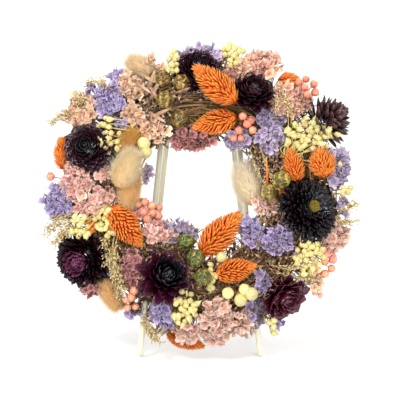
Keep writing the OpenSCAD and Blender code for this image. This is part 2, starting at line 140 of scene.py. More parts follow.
table_mesh = bpy.data.meshes.new("table_top")
turn = around(TABLE_CORNERS)
corners = TABLE_R * np.stack([np.cos(turn), np.sin(turn), 0 * turn], 1)
table_mesh.from_pydata(corners.tolist(), [], [list(range(TABLE_CORNERS))])
table_top = bpy.data.objects.new("table_top", table_mesh)
scene.collection.objects.link(table_top)
table_look = bpy.data.materials.new("white_table")
table_look.use_nodes = True
table_mesh.materials.append(table_look)
plug(table_look.node_tree.nodes["Principled BSDF"],
     {"Base Color": (0.86, 0.86, 0.86, 1), "Roughness": 0.9, "Specular IOR Level": 0.0,
      "Emission Color": (1, 1, 1, 1), "Emission Strength": where_seen(table_look.node_tree, 0.0, 0.3)})

camera = bpy.data.objects.new("camera", bpy.data.cameras.new("camera"))
scene.collection.objects.link(camera)
camera.data.sensor_width = SENSOR
camera.data.lens = SENSOR * CAMERA_DISTANCE / FRAME_WIDTH
camera.data.clip_end = 30
camera.location = ring_centre - up_face * AIM_BELOW_CENTRE + out_face * CAMERA_DISTANCE
camera.rotation_euler = (-out_face).to_track_quat("-Z", "Y").to_euler()
scene.camera = camera


# ---- Easel ----
# A folding stand of bent steel wire dipped in cream plastic, with a rear leg
# on a sleeve hinge. The coat is smooth and a little wavy, greyer in its nooks.
EASEL_NODES = ["left_foot", "right_foot", "left_upright", "right_upright", "top_arch",
               "left_shelf_arm", "right_shelf_arm", "hinge_bar", "hinge_sleeve",
               "left_rear_leg", "right_rear_leg", "floor_bar"]
COAT_GRAIN = 0.0003                         # metres: how high a coat's fine grain stands


def mixed(tree, share, first, second):
    """A colour that goes from first to second as share goes from 0 to 1."""
    return node(tree, "Mix", {"Factor": share, 6: first, 7: second}, data_type="RGBA").outputs[2]


def grain_group():
    """Fine mottling: a colour that wanders between two tones, and a height for a bump."""
    group = bpy.data.node_groups.new("dry_grain", "ShaderNodeTree")
    for label, kind, value in (("Color", "Color", (1, 1, 1, 1)), ("Fleck", "Color", (0, 0, 0, 1)),
                               ("Amount", "Float", 0.3), ("Size", "Float", 400.0)):
        socket = group.interface.new_socket(label, in_out="INPUT", socket_type="NodeSocket" + kind)
        socket.default_value = value
    for label, kind in (("Color", "Color"), ("Height", "Float")):
        group.interface.new_socket(label, in_out="OUTPUT", socket_type="NodeSocket" + kind)
    given = group.nodes.new("NodeGroupInput").outputs
    where = node(group, "TexCoord", {}).outputs["Object"]
    size = given["Size"]
    finer = node(group, "Math", {0: size, 1: 3.7}, operation="MULTIPLY").outputs[0]
    coarse = node(group, "TexNoise", {"Vector": where, "Scale": size, "Detail": 4.0, "Roughness": 0.6})
    fine = node(group, "TexNoise", {"Vector": where, "Scale": finer, "Detail": 2.0, "Roughness": 0.5})
    spots = node(group, "MapRange", {"Value": coarse.outputs["Fac"], "From Min": 0.42, "From Max": 0.68})
    share = node(group, "Math", {0: spots.outputs["Result"], 1: given["Amount"]}, operation="MULTIPLY")
    blend = mixed(group, share.outputs[0], given["Color"], given["Fleck"])
    plug(group.nodes.new("NodeGroupOutput"), {"Color": blend, "Height": fine.outputs["Fac"]})
    return group


GRAIN = grain_group()


def new_look(name, rough, bump, grain_height, fleck, fleck_amount, size, **shader_values):
    """A material with a bump and flecked grain; returns it, its tree and its grain."""
    look = bpy.data.materials.new(name)
    look.use_nodes = True
    tree = look.node_tree
    grain = node(tree, "Group", {}, node_tree=GRAIN)
    plug(grain, {"Fleck": colour(fleck), "Amount": fleck_amount, "Size": size})
    main, height = grain.outputs
    ridge = node(tree, "Bump", {"Strength": bump, "Distance": grain_height, "Height": height})
    shader = tree.nodes["Principled BSDF"]
    plug(shader, {"Roughness": rough, "Normal": ridge.outputs["Normal"], "Base Color": main})
    plug(shader, {label.replace("_", " "): value for label, value in shader_values.items()})
    return look, tree, grain


def coat_look(name, main, fleck, amount, size, rough, bump, **shader_values):
    """A wire's finish, of one colour with flecks of another."""
    look, _, grain = new_look(name, rough, bump, COAT_GRAIN, fleck, amount, size, **shader_values)
    plug(grain, {"Color": colour(main)})
    return look


def finish_node(name, look):
    """A CAD piece keeps its shape and takes a finish."""
    piece = frame["nodes"][name]
    piece.data.materials.clear()
    piece.data.materials.append(look)
    for face in piece.data.polygons:
        face.material_index = 0


cream_coat = coat_look("cream_coated_wire", "fdf8de", "f2ebcc", 0.3, 220.0, 0.34, 0.12,
                       Coat_Weight=0.3, Coat_Roughness=0.2)
for name in EASEL_NODES:
    finish_node(name, cream_coat)


# ---- Straw ring, binding wire and hanging loop ----
# A core of straw packed into a ring and wound round with thin green florist's
# wire. Long stalks of straw lie along it, bright on their ridges.
STRAW_STALKS = 620
STRAW_STALK_R = 0.85
BUNDLE_D = 6.0                              # bundles of stalks along the front and the inner side
BUNDLE_ANGLES = np.arange(55, 216, 20)      # where they lie round the core, from its outer side
STRAW_SINK = 0.5                            # how far the stalks' middles lie inside the ring's surface
CORE_UNDER = 0.7                            # how far the core's own surface lies under their middles
END_DIP = 1.6                               # how far the stalks' ends dip into the core
GOLDEN_TURN = 137.508                       # degrees from one part to the next, which keeps them even
PETAL_GRAIN = 0.0002                        # metres: how high a petal's fine grain stands


def nodes_of(name):
    """The CAD node of this name as a list, or an empty list where scene pieces have none."""
    return [name] if name in frame["nodes"] else []


def unit(v):
    """Vectors scaled to length 1, along the last axis."""
    return v / np.maximum(np.linalg.norm(v, axis=-1, keepdims=True), 1e-9)


def between(x, y, angle):
    """The way x, turned towards y by each angle."""
    return x * np.cos(angle)[..., None] + y * np.sin(angle)[..., None]


def on_ring(angle, out, height):
    """Wreath millimetres: angle round the ring, distance outside its middle line, height in front."""
    a = np.radians(angle)
    return np.stack(np.broadcast_arrays((ring_r + out) * np.cos(a), (ring_r + out) * np.sin(a), height), -1)


wreath_axes = np.array([[1, 0, 0], list(up_face), list(out_face)])


class Pile:
    """Gathers many small closed parts into one mesh, in wreath millimetres. Each point has a tone of its
    part, how far along the part it is from base to tip, and whether it belongs to a stem."""

    def __init__(self):
        self.points, self.loops, self.sizes, self.marks = [], [], [], []
        self.count = 0

    def add(self, points, tone, along, stem=0.0):
        """points is (parts, rows, sides, 3); tone is one value per part; along is one per row or point."""
        parts, rows, sides = points.shape[:3]
        r, k = np.meshgrid(np.arange(rows - 1), np.arange(sides), indexing="ij")
        r, k, nxt = r.ravel(), k.ravel(), (k.ravel() + 1) % sides
        quads = np.stack([r * sides + k, r * sides + nxt, (r + 1) * sides + nxt, (r + 1) * sides + k], 1)
        base = np.arange(sides)[::-1]
        tip = (rows - 1) * sides + np.arange(sides)
        one = np.concatenate([quads.ravel(), base, tip])
        sizes = np.concatenate([np.full(len(quads), 4), [sides, sides]])
        starts = self.count + np.arange(parts)[:, None] * rows * sides
        self.loops.append((one[None] + starts).ravel())
        self.sizes.append(np.tile(sizes, parts))
        shape = (parts, rows, sides)
        tone = np.broadcast_to(np.asarray(tone, float).reshape(-1, 1, 1), shape)
        along = np.asarray(along, float)
        along = along[None, :, None] if along.ndim == 1 else along
        marks = [tone, np.broadcast_to(along, shape), np.full(shape, stem)]
        self.marks.append(np.stack([m.reshape(-1) for m in marks], 1))
        self.points.append(points.reshape(-1, 3))
        self.count += parts * rows * sides

    def make(self, name, look, nodes, slot):
        """Turns the pile into one piece of the wreath that stands for its CAD nodes."""
        points = np.array(ring_centre) + MM * np.concatenate(self.points) @ wreath_axes
        loops, sizes = np.concatenate(self.loops), np.concatenate(self.sizes)
        mesh = bpy.data.meshes.new(name)
        mesh.vertices.add(len(points))
        mesh.vertices.foreach_set("co", points.astype(np.float32).ravel())
        mesh.loops.add(len(loops))
        mesh.loops.foreach_set("vertex_index", loops.astype(np.int32))
        mesh.polygons.add(len(sizes))
        mesh.polygons.foreach_set("loop_start", (np.cumsum(sizes) - sizes).astype(np.int32))
        mesh.polygons.foreach_set("use_smooth", np.full(len(sizes), True))
        mesh.update(calc_edges=True)
        marks = np.concatenate(self.marks).astype(np.float32)
        for i, label in enumerate(("tone", "along", "stem")):
            mesh.attributes.new(label, "FLOAT", "POINT").data.foreach_set("value", marks[:, i].copy())
        mesh.materials.append(look)
        piece = bpy.data.objects.new(name, mesh)
        scene.collection.objects.link(piece)
        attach(piece, "wreath")
        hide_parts(*nodes)


def tubes(pile, paths, radius, tone, sides=5, stem=1.0, along=None):
    """Stalks along paths (parts, rows, 3), with a radius for each row."""
    ahead = unit(np.gradient(paths, axis=1))
    hint = np.array([0.31, 0.17, 0.93])
    x = unit(np.cross(np.broadcast_to(hint, ahead.shape), ahead))
    y = np.cross(ahead, x)
    turn = around(sides)
    radius = np.broadcast_to(radius, paths.shape[:2])[:, :, None, None]
    points = paths[:, :, None] + radius * between(x[:, :, None], y[:, :, None], turn)
    pile.add(points, tone, np.linspace(0, 1, paths.shape[1]) if along is None else along, stem)


def mark(tree, label):
    """What each point of a pile is marked with: its part's tone, its place along the part, or stem."""
    return node(tree, "Attribute", {}, attribute_name=label).outputs["Fac"]


def petal_look(name, base, middle, tip, stalk, rough=0.62, fleck="3a2a1c", fleck_amount=0.25, size=900.0,
               bump=0.25, wander=0.35, middle_at=0.5, **shader_values):
    """A dried petal's finish: its colour runs from base to middle to tip, and each part is a little
    lighter or darker than its neighbours."""
    look, tree, grain = new_look(name, rough, bump, PETAL_GRAIN, fleck, fleck_amount, size, **shader_values)
    tone = mark(tree, "tone")
    ramp = node(tree, "ValToRGB", {"Fac": mark(tree, "along")})
    stops = ramp.color_ramp.elements
    stops[0].color = colour(base)
    stops[1].color = colour(tip)
    stops.new(middle_at).color = colour(middle)
    coloured = mixed(tree, mark(tree, "stem"), ramp.outputs["Color"], colour(stalk))
    level = node(tree, "MapRange", {"Value": tone, "To Min": 1 - wander, "To Max": 1 + wander})
    many = node(tree, "Math", {0: tone, 1: 7.3}, operation="MULTIPLY")
    spin = node(tree, "Math", {0: many.outputs[0]}, operation="FRACT")
    hue = node(tree, "MapRange", {"Value": spin.outputs[0], "To Min": 0.485, "To Max": 0.515})
    shade = node(tree, "HueSaturation",
                 {"Hue": hue.outputs["Result"], "Value": level.outputs["Result"], "Color": coloured})
    plug(grain, {"Color": shade.outputs["Color"]})
    return look


straw_look = petal_look("golden_straw", "563c20", "806038", "a88656", "98784a", rough=0.6,
                        fleck="3c2414", fleck_amount=0.5, size=500.0, wander=0.5)
rng = np.random.default_rng(11)
straw = Pile()
core_ring = on_ring(np.linspace(0, 360, 121), 0, 0)[None]
tubes(straw, core_ring, straw_r - STRAW_SINK - CORE_UNDER, [0.2], sides=40)


def each(rng, low, high, count=STRAW_STALKS):
    """A random value for each stalk, as a column."""
    return rng.uniform(low, high, count)[:, None]


stalk_start = each(rng, 0, 360)
stalk_span = each(rng, 38, 80)
steps = np.linspace(0, 1, 11)
loose = np.arange(STRAW_STALKS)[:, None] < STRAW_STALKS // 2
bundle = np.radians(BUNDLE_ANGLES[np.arange(STRAW_STALKS) % len(BUNDLE_ANGLES)])[:, None]
twist = each(rng, 0, 6.28) + each(rng, -2, 2) * steps
bundle_r = BUNDLE_D / 2 - STRAW_STALK_R * each(rng, 0.7, 1.3)
bundle_out = straw_r + BUNDLE_RISE - BUNDLE_D / 2
side = np.radians(GOLDEN_TURN * np.arange(STRAW_STALKS)[:, None] + each(rng, -28, 28) * steps)
deep = straw_r - STRAW_SINK - each(rng, 0, 0.5) - END_DIP * (2 * steps - 1) ** 8
out = np.where(loose, deep * np.cos(side), bundle_out * np.cos(bundle) + bundle_r * np.cos(twist))
height = np.where(loose, deep * np.sin(side), bundle_out * np.sin(bundle) + bundle_r * np.sin(twist))
tubes(straw, on_ring(stalk_start + stalk_span * steps, out, height), STRAW_STALK_R * each(rng, 0.6, 1.1),
      rng.random(STRAW_STALKS))
straw.make("straw_ring_stalks", straw_look, ["straw_ring"], "straw")

green_wire = coat_look("green_florist_wire", "3f4a2c", "23291a", 0.4, 300.0, 0.38, 0.1, Metallic=0.4)
finish_node("binding_wire", green_wire)
finish_node("hanging_loop", green_wire)


# ---- Undergrowth ----
# Cut stems, bare calyxes and leaf scraps are pushed into the straw between the
# flowers. They lie along the ring, thin, brown and olive, and hide the straw.
DOME_W = 25.0                               # height of the flowers' rounded front
DOME_OUT = 51.0                             # its half width
PRONG_ROOM = 5.0                            # half width of the gap for each of the easel's prongs
UNDER_STEMS = 900
UNDER_OUT = (-29, 32)                       # where they start, inside and outside the ring's middle line
UNDER_SINK = 6.0
INNER_STEMS = 320                           # stems that reach from the straw towards the hole
LONG_REACH = 36.0                           # how far the longest of them go, and the others
SHORT_REACH = 27.0
prong_low, prong_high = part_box("right_foot")
prong_x = ((prong_low.x + prong_high.x) / 2 - ring_centre.x) / MM
prong_y = (prong_high.z - ring_centre.z) / MM / up_face.z


def dome(x, y):
    """The flowers' front surface over a place on the face: the point and the way out of it."""
    far = np.hypot(x, y)
    out = np.clip(far - ring_r, -0.985 * DOME_OUT, 0.985 * DOME_OUT)
    height = DOME_W * np.sqrt(1 - (out / DOME_OUT) ** 2)
    beside = np.exp(-((np.abs(x) - prong_x) / PRONG_ROOM) ** 2) * (y < prong_y + 4)
    height = height * (1 - 0.75 * beside)
    radial = np.stack([x / far, y / far, np.zeros_like(far)], -1)
    front = np.array([0.0, 0.0, 1.0])
    normal = unit(radial * (out / DOME_OUT ** 2)[..., None] + front * (height / DOME_W ** 2)[..., None])
    return radial * (ring_r + out)[..., None] + front * height[..., None], normal


def spread(patch, count, rng):
    """Places in an ellipse [x, y, half width, half height], even but not regular."""
    i = np.arange(count)
    far = np.sqrt((i + 0.5) / count) * rng.uniform(0.93, 1.04, count)
    turn = np.radians(GOLDEN_TURN * i + rng.uniform(-18, 18, count) + rng.uniform(0, 360))
    return patch[0] + patch[2] * far * np.cos(turn), patch[1] + patch[3] * far * np.sin(turn)


def stalks_to(pile, tops, rng, radius=0.45, spread_mm=5.0, tone=None):
    """A bent stalk from inside the straw up to each top."""
    n = len(tops)
    far = np.hypot(tops[:, 0], tops[:, 1])
    out = far - ring_r
    share = 0.6 * straw_r / np.maximum(np.hypot(out, tops[:, 2]), 1.0)
    foot = np.stack([tops[:, 0] / far * (ring_r + out * share), tops[:, 1] / far * (ring_r + out * share),
                     tops[:, 2] * share], -1) + rng.normal(0, spread_mm * 0.4, (n, 3))
    s = np.linspace(0, 1, 5)[None, :, None]
    bow = rng.normal(0, spread_mm * 0.3, (n, 1, 3)) * (4 * s * (1 - s))
    paths = foot[:, None] * (1 - s) + tops[:, None] * s + bow
    radius = radius * rng.uniform(0.7, 1.2, (n, 1))
    tubes(pile, paths, radius, rng.random(n) if tone is None else tone, sides=4)


def lying_stems(pile, turn, out, lift, thick, tone, sides=4):
    """Stems along the ring: their turns and distances outside its middle line are (stems, rows), and lift
    is how far they stand off the flowers' front."""
    x, y, _ = np.moveaxis(on_ring(turn, out, 0), -1, 0)
    surface, normal = dome(x, y)
    tubes(pile, surface + normal * lift[..., None], thick, tone, sides)


rng = np.random.default_rng(23)
under_look = petal_look("dry_stems_and_leaves", "4f3020", "7c5636", "a98656", "8c6c44", rough=0.7,
                        fleck="33200f", fleck_amount=0.45, size=700.0, wander=0.65)
under = Pile()
steps = np.linspace(0, 1, 6)
under_turn = each(rng, 0, 360, UNDER_STEMS)
under_out = each(rng, *UNDER_OUT, UNDER_STEMS)
lying_stems(under, under_turn + rng.normal(0, 12, UNDER_STEMS)[:, None] * steps,
            under_out + rng.normal(0, 2.5, UNDER_STEMS)[:, None] * steps,
            each(rng, -UNDER_SINK, -1.0, UNDER_STEMS) + 2 * steps - 1,
            each(rng, 0.35, 0.9, UNDER_STEMS), rng.random(UNDER_STEMS))
inner_turn = each(rng, 0, 360, INNER_STEMS)
far_in = (inner_turn > 222) & (inner_turn < 300) | (np.abs(inner_turn - 95) < 16)
reach = np.where(far_in, LONG_REACH, SHORT_REACH) - each(rng, 0, 8, INNER_STEMS)
lying_stems(under, inner_turn + rng.normal(0, 12, INNER_STEMS)[:, None] * steps, -14 - (reach - 14) * steps,
            each(rng, -10, -4, INNER_STEMS) - 3 * (1 - steps), each(rng, 0.4, 1.1, INNER_STEMS),
            rng.random(INNER_STEMS))
under.make("undergrowth", under_look, [], "dry_stems")

STEM_BUNDLE = 90                            # cut stems that show between the flowers, upper left
rng = np.random.default_rng(29)
bundle_look = petal_look("dark_cut_stems", "33241a", "5a4430", "8c7450", "5f4a32", rough=0.6,
                         fleck="24180e", fleck_amount=0.4, size=600.0, wander=0.5)
bundle = Pile()
steps = np.linspace(0, 1, 7)
bundle_turn = each(rng, 98, 128, STEM_BUNDLE)
bundle_out = each(rng, -20, 22, STEM_BUNDLE)
lying_stems(bundle, bundle_turn + each(rng, 10, 26, STEM_BUNDLE) * steps,
            bundle_out - each(rng, -4, 12, STEM_BUNDLE) * steps, each(rng, -4, -0.5, STEM_BUNDLE),
            each(rng, 0.45, 1.0, STEM_BUNDLE) * np.linspace(1, 0.7, 7), rng.random(STEM_BUNDLE), sides=5)
bundle.make("stem_bundle_stems", bundle_look, ["stem_bundle"], "dry_stems")


# ---- Statice ----
# Tufts of papery funnels with ruffled rims, dried pink, peach, mauve and lilac,
# each funnel on a stiff brown stalk. They are the bed between the large heads.
FLORET_SIZE = 4.6
RUFFLE = 0.46                               # how deep a floret's rim is folded, as a share of its size
FLORET_ROOM = 14.0                          # square mm of the face for each floret
FLORET_SIDES = 18                           # an even number, as its pleats go in and out by turns
# The two layers of florets: how far each stands off the front, how full it is and how large.
FLORET_LAYERS = [(-4.0, 0.55, 1.05), (0.5, 1.0, 1.0)]


def turned(pile, start, grow, radius, height, tone, along, rng, sides, swell, squash=1.0, lift=0.0):
    """Round parts: radius and height are (parts, rows) from base to tip; swell multiplies the radius and
    lift adds to the height, both (parts, rows, sides); squash flattens each part to one side."""
    n = len(radius)
    grow = unit(grow)
    x = unit(np.cross(rng.normal(size=(n, 3)), grow))
    y = np.cross(grow, x)
    turn = around(sides)
    r = radius[:, :, None] * swell
    flat = np.broadcast_to(squash, n)[:, None, None]
    h = height[:, :, None] + lift
    points = (start[:, None, None] + x[:, None, None] * (r * np.cos(turn))[..., None]
              + y[:, None, None] * (r * np.sin(turn) * flat)[..., None] + grow[:, None, None] * h[..., None])
    pile.add(points, tone, along)


def swayed(ways, by, rng):
    """Ways that lean a little off the given ones."""
    return unit(ways + rng.normal(0, by, ways.shape))


def funnels(pile, tips, ways, size, rng):
    """Crumpled funnels of a few round lobes, up the outside, over the rim at the tip and down inside."""
    n = len(tips)
    outer = np.array([0.12, 0.34, 0.74, 1.0, 0.93, 0.6, 0.12])
    level = np.array([0.0, 0.42, 0.8, 1.0, 0.95, 0.72, 0.42])
    along = np.array([0.0, 0.3, 0.66, 1.0, 0.92, 0.5, 0.0])
    radius = size[:, None] * outer
    deep = size * rng.uniform(0.7, 1.2, n)
    height = deep[:, None] * (level - 1)
    turn = around(FLORET_SIDES)
    lobes = rng.choice([2.0, 2.5, 2.5, 3.0], n)[:, None]
    lobe = np.abs(np.cos(lobes * turn + rng.uniform(0, 3.14, (n, 1)))) ** 0.6
    fold = np.zeros((n, FLORET_SIDES))
    for waves, share in ((2, 0.8), (3, 0.8), (5, 0.8), (8, 0.6)):
        fold += share * np.cos(waves * turn + rng.uniform(0, 6.28, (n, 1)))
    reach = (outer ** 2)[None, :, None]
    pleat = np.where(np.arange(FLORET_SIDES) % 2, 1.0, -1.0)[None, None, :] * reach
    # The colour mark runs from the brown base up the outside to the pale rim and back down inside; painted
    # shade darkens the inward pleats and the hollows between lobes, most near the rim.
    paper_tone_with_painted_shade = along[None, :, None] - 0.12 * (pleat < 0) * reach + 0.25 * (lobe[:, None] - 0.7) * reach
    turned(pile, tips, ways, radius, height, rng.random(n), paper_tone_with_painted_shade, rng, FLORET_SIDES,
           swell=1 + (0.42 * (lobe[:, None] - 0.75) + 0.06 * fold[:, None]) * reach + 0.02 * pleat,
           squash=rng.uniform(0.6, 1.0, n),
           lift=size[:, None, None] * (RUFFLE * 0.55 * fold[:, None] * reach + 0.05 * pleat))


def statice(name, patches, look, slot, seed):
    """A tuft over each patch [x, y, half width, half height] of the face, in two layers."""
    rng = np.random.default_rng(seed)
    pile = Pile()
    for patch in patches:
        for raised, share, grown in FLORET_LAYERS:
            count = max(3, int(share * np.pi * patch[2] * patch[3] / FLORET_ROOM))
            point, normal = dome(*spread(patch, count, rng))
            centre, _ = dome(*np.array(patch[:2], float)[:, None])
            away = (point - centre) / max(patch[2], patch[3])
            ways = swayed(normal + 0.45 * away, 0.36, rng)
            tips = point + normal * (raised + each(rng, -1.5, 2.5, count))
            small = min(1.0, 0.5 + min(patch[2], patch[3]) / 12)
            sizes = FLORET_SIZE * grown * small * rng.uniform(0.75, 1.15, count)
            funnels(pile, tips, ways, sizes, rng)
            stalks_to(pile, tips - ways * (1.3 * sizes)[:, None], rng)
    pile.make(name + "_tuft", look, nodes_of(name), slot)


# Each paper: colours at the base, in the middle, at the rim, of the stalk and of the flecks, and how much
# the florets differ.
# The pale rim colours are partly painted highlight on the crinkled rims.
PAPERS = {
    "peach": ("b88058", "f6c6a0", "ffecd4", "7d6243", "b97a62", 0.18),
    "rose": ("b47468", "f8beac", "ffe6da", "75583e", "a86a60", 0.2),
    "salmon": ("b0705a", "f4bca0", "ffe2d0", "75583e", "a8604c", 0.22),
    "dusty": ("a87460", "f2c0aa", "ffeadc", "75583e", "94604c", 0.24),
    "mauve": ("5a3024", "b8706c", "e8b2aa", "4f3826", "55302a", 0.3),
    "lilac": ("7c6684", "ac98c8", "dcd0ec", "6a5a44", "6a5686", 0.22),
    "grey_lilac": ("806a78", "b09cbe", "e0d4e6", "6a5a44", "6a5672", 0.24),
}
papers = {}
for tint, (base, middle, rim, stalk, fleck, wander) in PAPERS.items():
    papers[tint] = petal_look(tint + "_statice_paper", base, middle, rim, stalk, wander=wander, fleck=fleck,
                              size=500.0, Sheen_Weight=0.15)
# Each tuft: its paper and its patches.
STATICE = [
    ("pink_statice_upper_left", "peach", [[-96, 69, 13, 13]]),
    ("pink_statice_top_left", "peach", [[-55, 88, 9, 12], [-54, 67, 7, 8], [-37, 54, 11, 9],
                                        [-40, 109, 4, 4], [-31, 103, 4, 3]]),
    ("pink_statice_left", "rose", [[-98, 13, 12, 14], [-77, 18, 6, 5], [-89, -7, 12, 7], [-74, 1, 9, 6]]),
    ("pink_statice_right", "dusty", [[105, -31, 12, 13]]),
    ("pink_statice_upper_right", "salmon", [[50, 106, 15, 11], [70, 76, 17, 13], [30, 99, 11, 8]]),
    ("pink_statice_bottom", "dusty", [[13, -99, 13, 18], [-11, -107, 9, 9], [35, -101, 9, 10]]),
    ("pink_statice_inner_low_left", "rose", [[-33, -27, 10, 10], [-46, -10, 9, 7]]),
    ("pink_statice_inner_right", "dusty", [[52, -6, 9, 8]]),
    ("pink_statice_low_right", "peach", [[90, -62, 7, 6], [93, -72, 4, 6]]),
    ("mauve_statice_low_left", "mauve", [[-55, -57, 8, 15], [-88, -74, 8, 5]]),
    ("mauve_statice_inner_top", "mauve", [[-6, 45, 17, 8]]),
    ("lilac_statice_upper_left", "lilac", [[-73, 76, 12, 12], [-66, 95, 6, 6], [-90, 88, 4, 4],
                                           [-62, 59, 5, 4]]),
    ("lilac_statice_top", "grey_lilac", [[0, 113, 19, 6.5]]),
    ("lilac_statice_left", "lilac", [[-113, -4, 11, 14]]),
    ("lilac_statice_inner_left", "grey_lilac", [[-42, 18, 4, 6], [-17, -27, 16, 8]]),
    ("lilac_statice_right", "grey_lilac", [[110, 24, 10, 15], [113, -8, 4, 8]]),
    ("lilac_statice_inner_right", "grey_lilac", [[56, 52, 11, 19], [30, 46, 9, 7]]),
    ("lilac_statice_low_right", "lilac", [[41, -28, 8, 12], [62, -34, 13, 10], [78, -46, 3, 4],
                                          [50, -67, 6, 7]]),
    ("lilac_statice_bottom", "lilac", [[44, -92, 7, 11], [62, -102, 5, 4]]),
    ("lilac_statice_low_left", "lilac", [[-54, -94, 5, 3], [-31, -92, 9, 9], [-26, -102, 4, 4]]),
]
for seed, (name, tint, patches) in enumerate(STATICE):
    statice(name, patches, papers[tint], name[:name.index("statice")] + "statice", 100 + seed)


# ---- Strawflowers ----
# Everlasting flowers of stiff, glossy, pointed bracts in a tight spiral, almost
# black, plum or wine. Some stay shut like a cone, one is open to its disc.
def blades(pile, start, grow, face, length, width, thick, bend, cup, tone, outline, rows, sides, flick=0.0,
           along=None):
    """Closed leaf-like parts that grow from their starts, upper side towards face, and bend that way."""
    n = len(start)
    s = np.linspace(0, 1, rows)
    grow = unit(grow)
    face = unit(face - grow * np.sum(grow * face, -1, keepdims=True))
    across = np.cross(face, grow)
    bend, flick, length, width = (np.broadcast_to(v, n)[:, None] for v in (bend, flick, length, width))
    angle = bend * s + flick * s ** 3
    ahead = between(grow[:, None], face[:, None], angle)
    above = between(face[:, None], -grow[:, None], angle)
    step = length[..., None] / (rows - 1) * (ahead[:, :-1] + ahead[:, 1:]) / 2
    mid = start[:, None] + np.concatenate([np.zeros((n, 1, 3)), np.cumsum(step, 1)], 1)
    half = width / 2 * outline(s)
    turn = around(sides)
    rise = thick * np.sin(turn) * outline(s)[:, None] + cup * half[:, :, None] * np.cos(turn) ** 2
    points = (mid[:, :, None] + across[:, None, None] * (half[:, :, None] * np.cos(turn))[..., None]
              + above[:, :, None] * rise[..., None])
    pile.add(points, tone, s if along is None else along)


def lance(s):
    """Outline of a pointed leaf: widest below its middle."""
    return np.maximum(2.0 * (s + 0.05) ** 0.55 * (1 - s) ** 0.62 / 1.62, 0.03)


def spoon(s):
    """Outline of a broad bract with a short point."""
    return np.maximum((s + 0.08) ** 0.6 * (1 - s ** 2.6) ** 0.75, 0.03)


def tile(s):
    """Outline of a stiff roof-tile bract: broad almost to its end, with a short point."""
    return np.maximum((s + 0.1) ** 0.35 * (1 - s ** 3.4) ** 0.9 / 0.97, 0.03)


def blunt(s):
    """Outline of a broad bract with a round end."""
    return np.maximum((s + 0.12) ** 0.4 * (1 - s ** 5) ** 0.7 / 1.02, 0.03)


def bract_look(name, inner, outer, tip, shine, gloss):
    """A strawflower's finish: one colour at its heart, one at its edge and a lighter one on the bracts'
    tips, which is painted highlight.
    """
    look, tree, grain = new_look(name, shine, 0.35, PETAL_GRAIN, "050305", 0.5, 450.0,
                                 Specular_IOR_Level=gloss)
    body = mixed(tree, mark(tree, "tone"), colour(inner), colour(outer))
    # The bracts' outer ends turn towards the tip colour: painted highlight.
    tip_highlight_share = node(tree, "MapRange", {"Value": mark(tree, "along"), "From Min": 0.45, "From Max": 1.0})
    plug(grain, {"Color": mixed(tree, tip_highlight_share.outputs["Result"], body, colour(tip))})
    return look


SEPALS = 16
DISC_R = 4.8                                # the open flower's bare disc
DISC_UP = 9.0                               # how far it stands above the end of the stem
DISC_FLORETS = 170
disc_look = petal_look("yellow_green_disc", "4a3a16", "9a8834", "ccb850", "7d8236", rough=0.6)


def ways_across(axis, hint):
    """Two ways square to an axis and to each other."""
    east = unit(np.cross(axis, np.array(hint)))
    return east, np.cross(axis, east)


def disc_button(name, place, axis, east, north, slot, rng):
    """The bare disc of an open flower, packed with small florets."""
    j = np.arange(DISC_FLORETS)
    far = DISC_R * np.sqrt((j + 0.5) / DISC_FLORETS)
    foot = place + axis * (DISC_UP - 2.2) + between(east, north, np.radians(GOLDEN_TURN * j)) * far[:, None]
    button = Pile()
    blades(button, foot, axis + 0.05 * rng.normal(size=foot.shape), east,
           rng.uniform(2.2, 3.2, DISC_FLORETS), 0.95, 0.32, 0.1, 0.0, rng.random(DISC_FLORETS), spoon,
           rows=4, sides=5)
    button.make(name + "_disc", disc_look, [], slot)


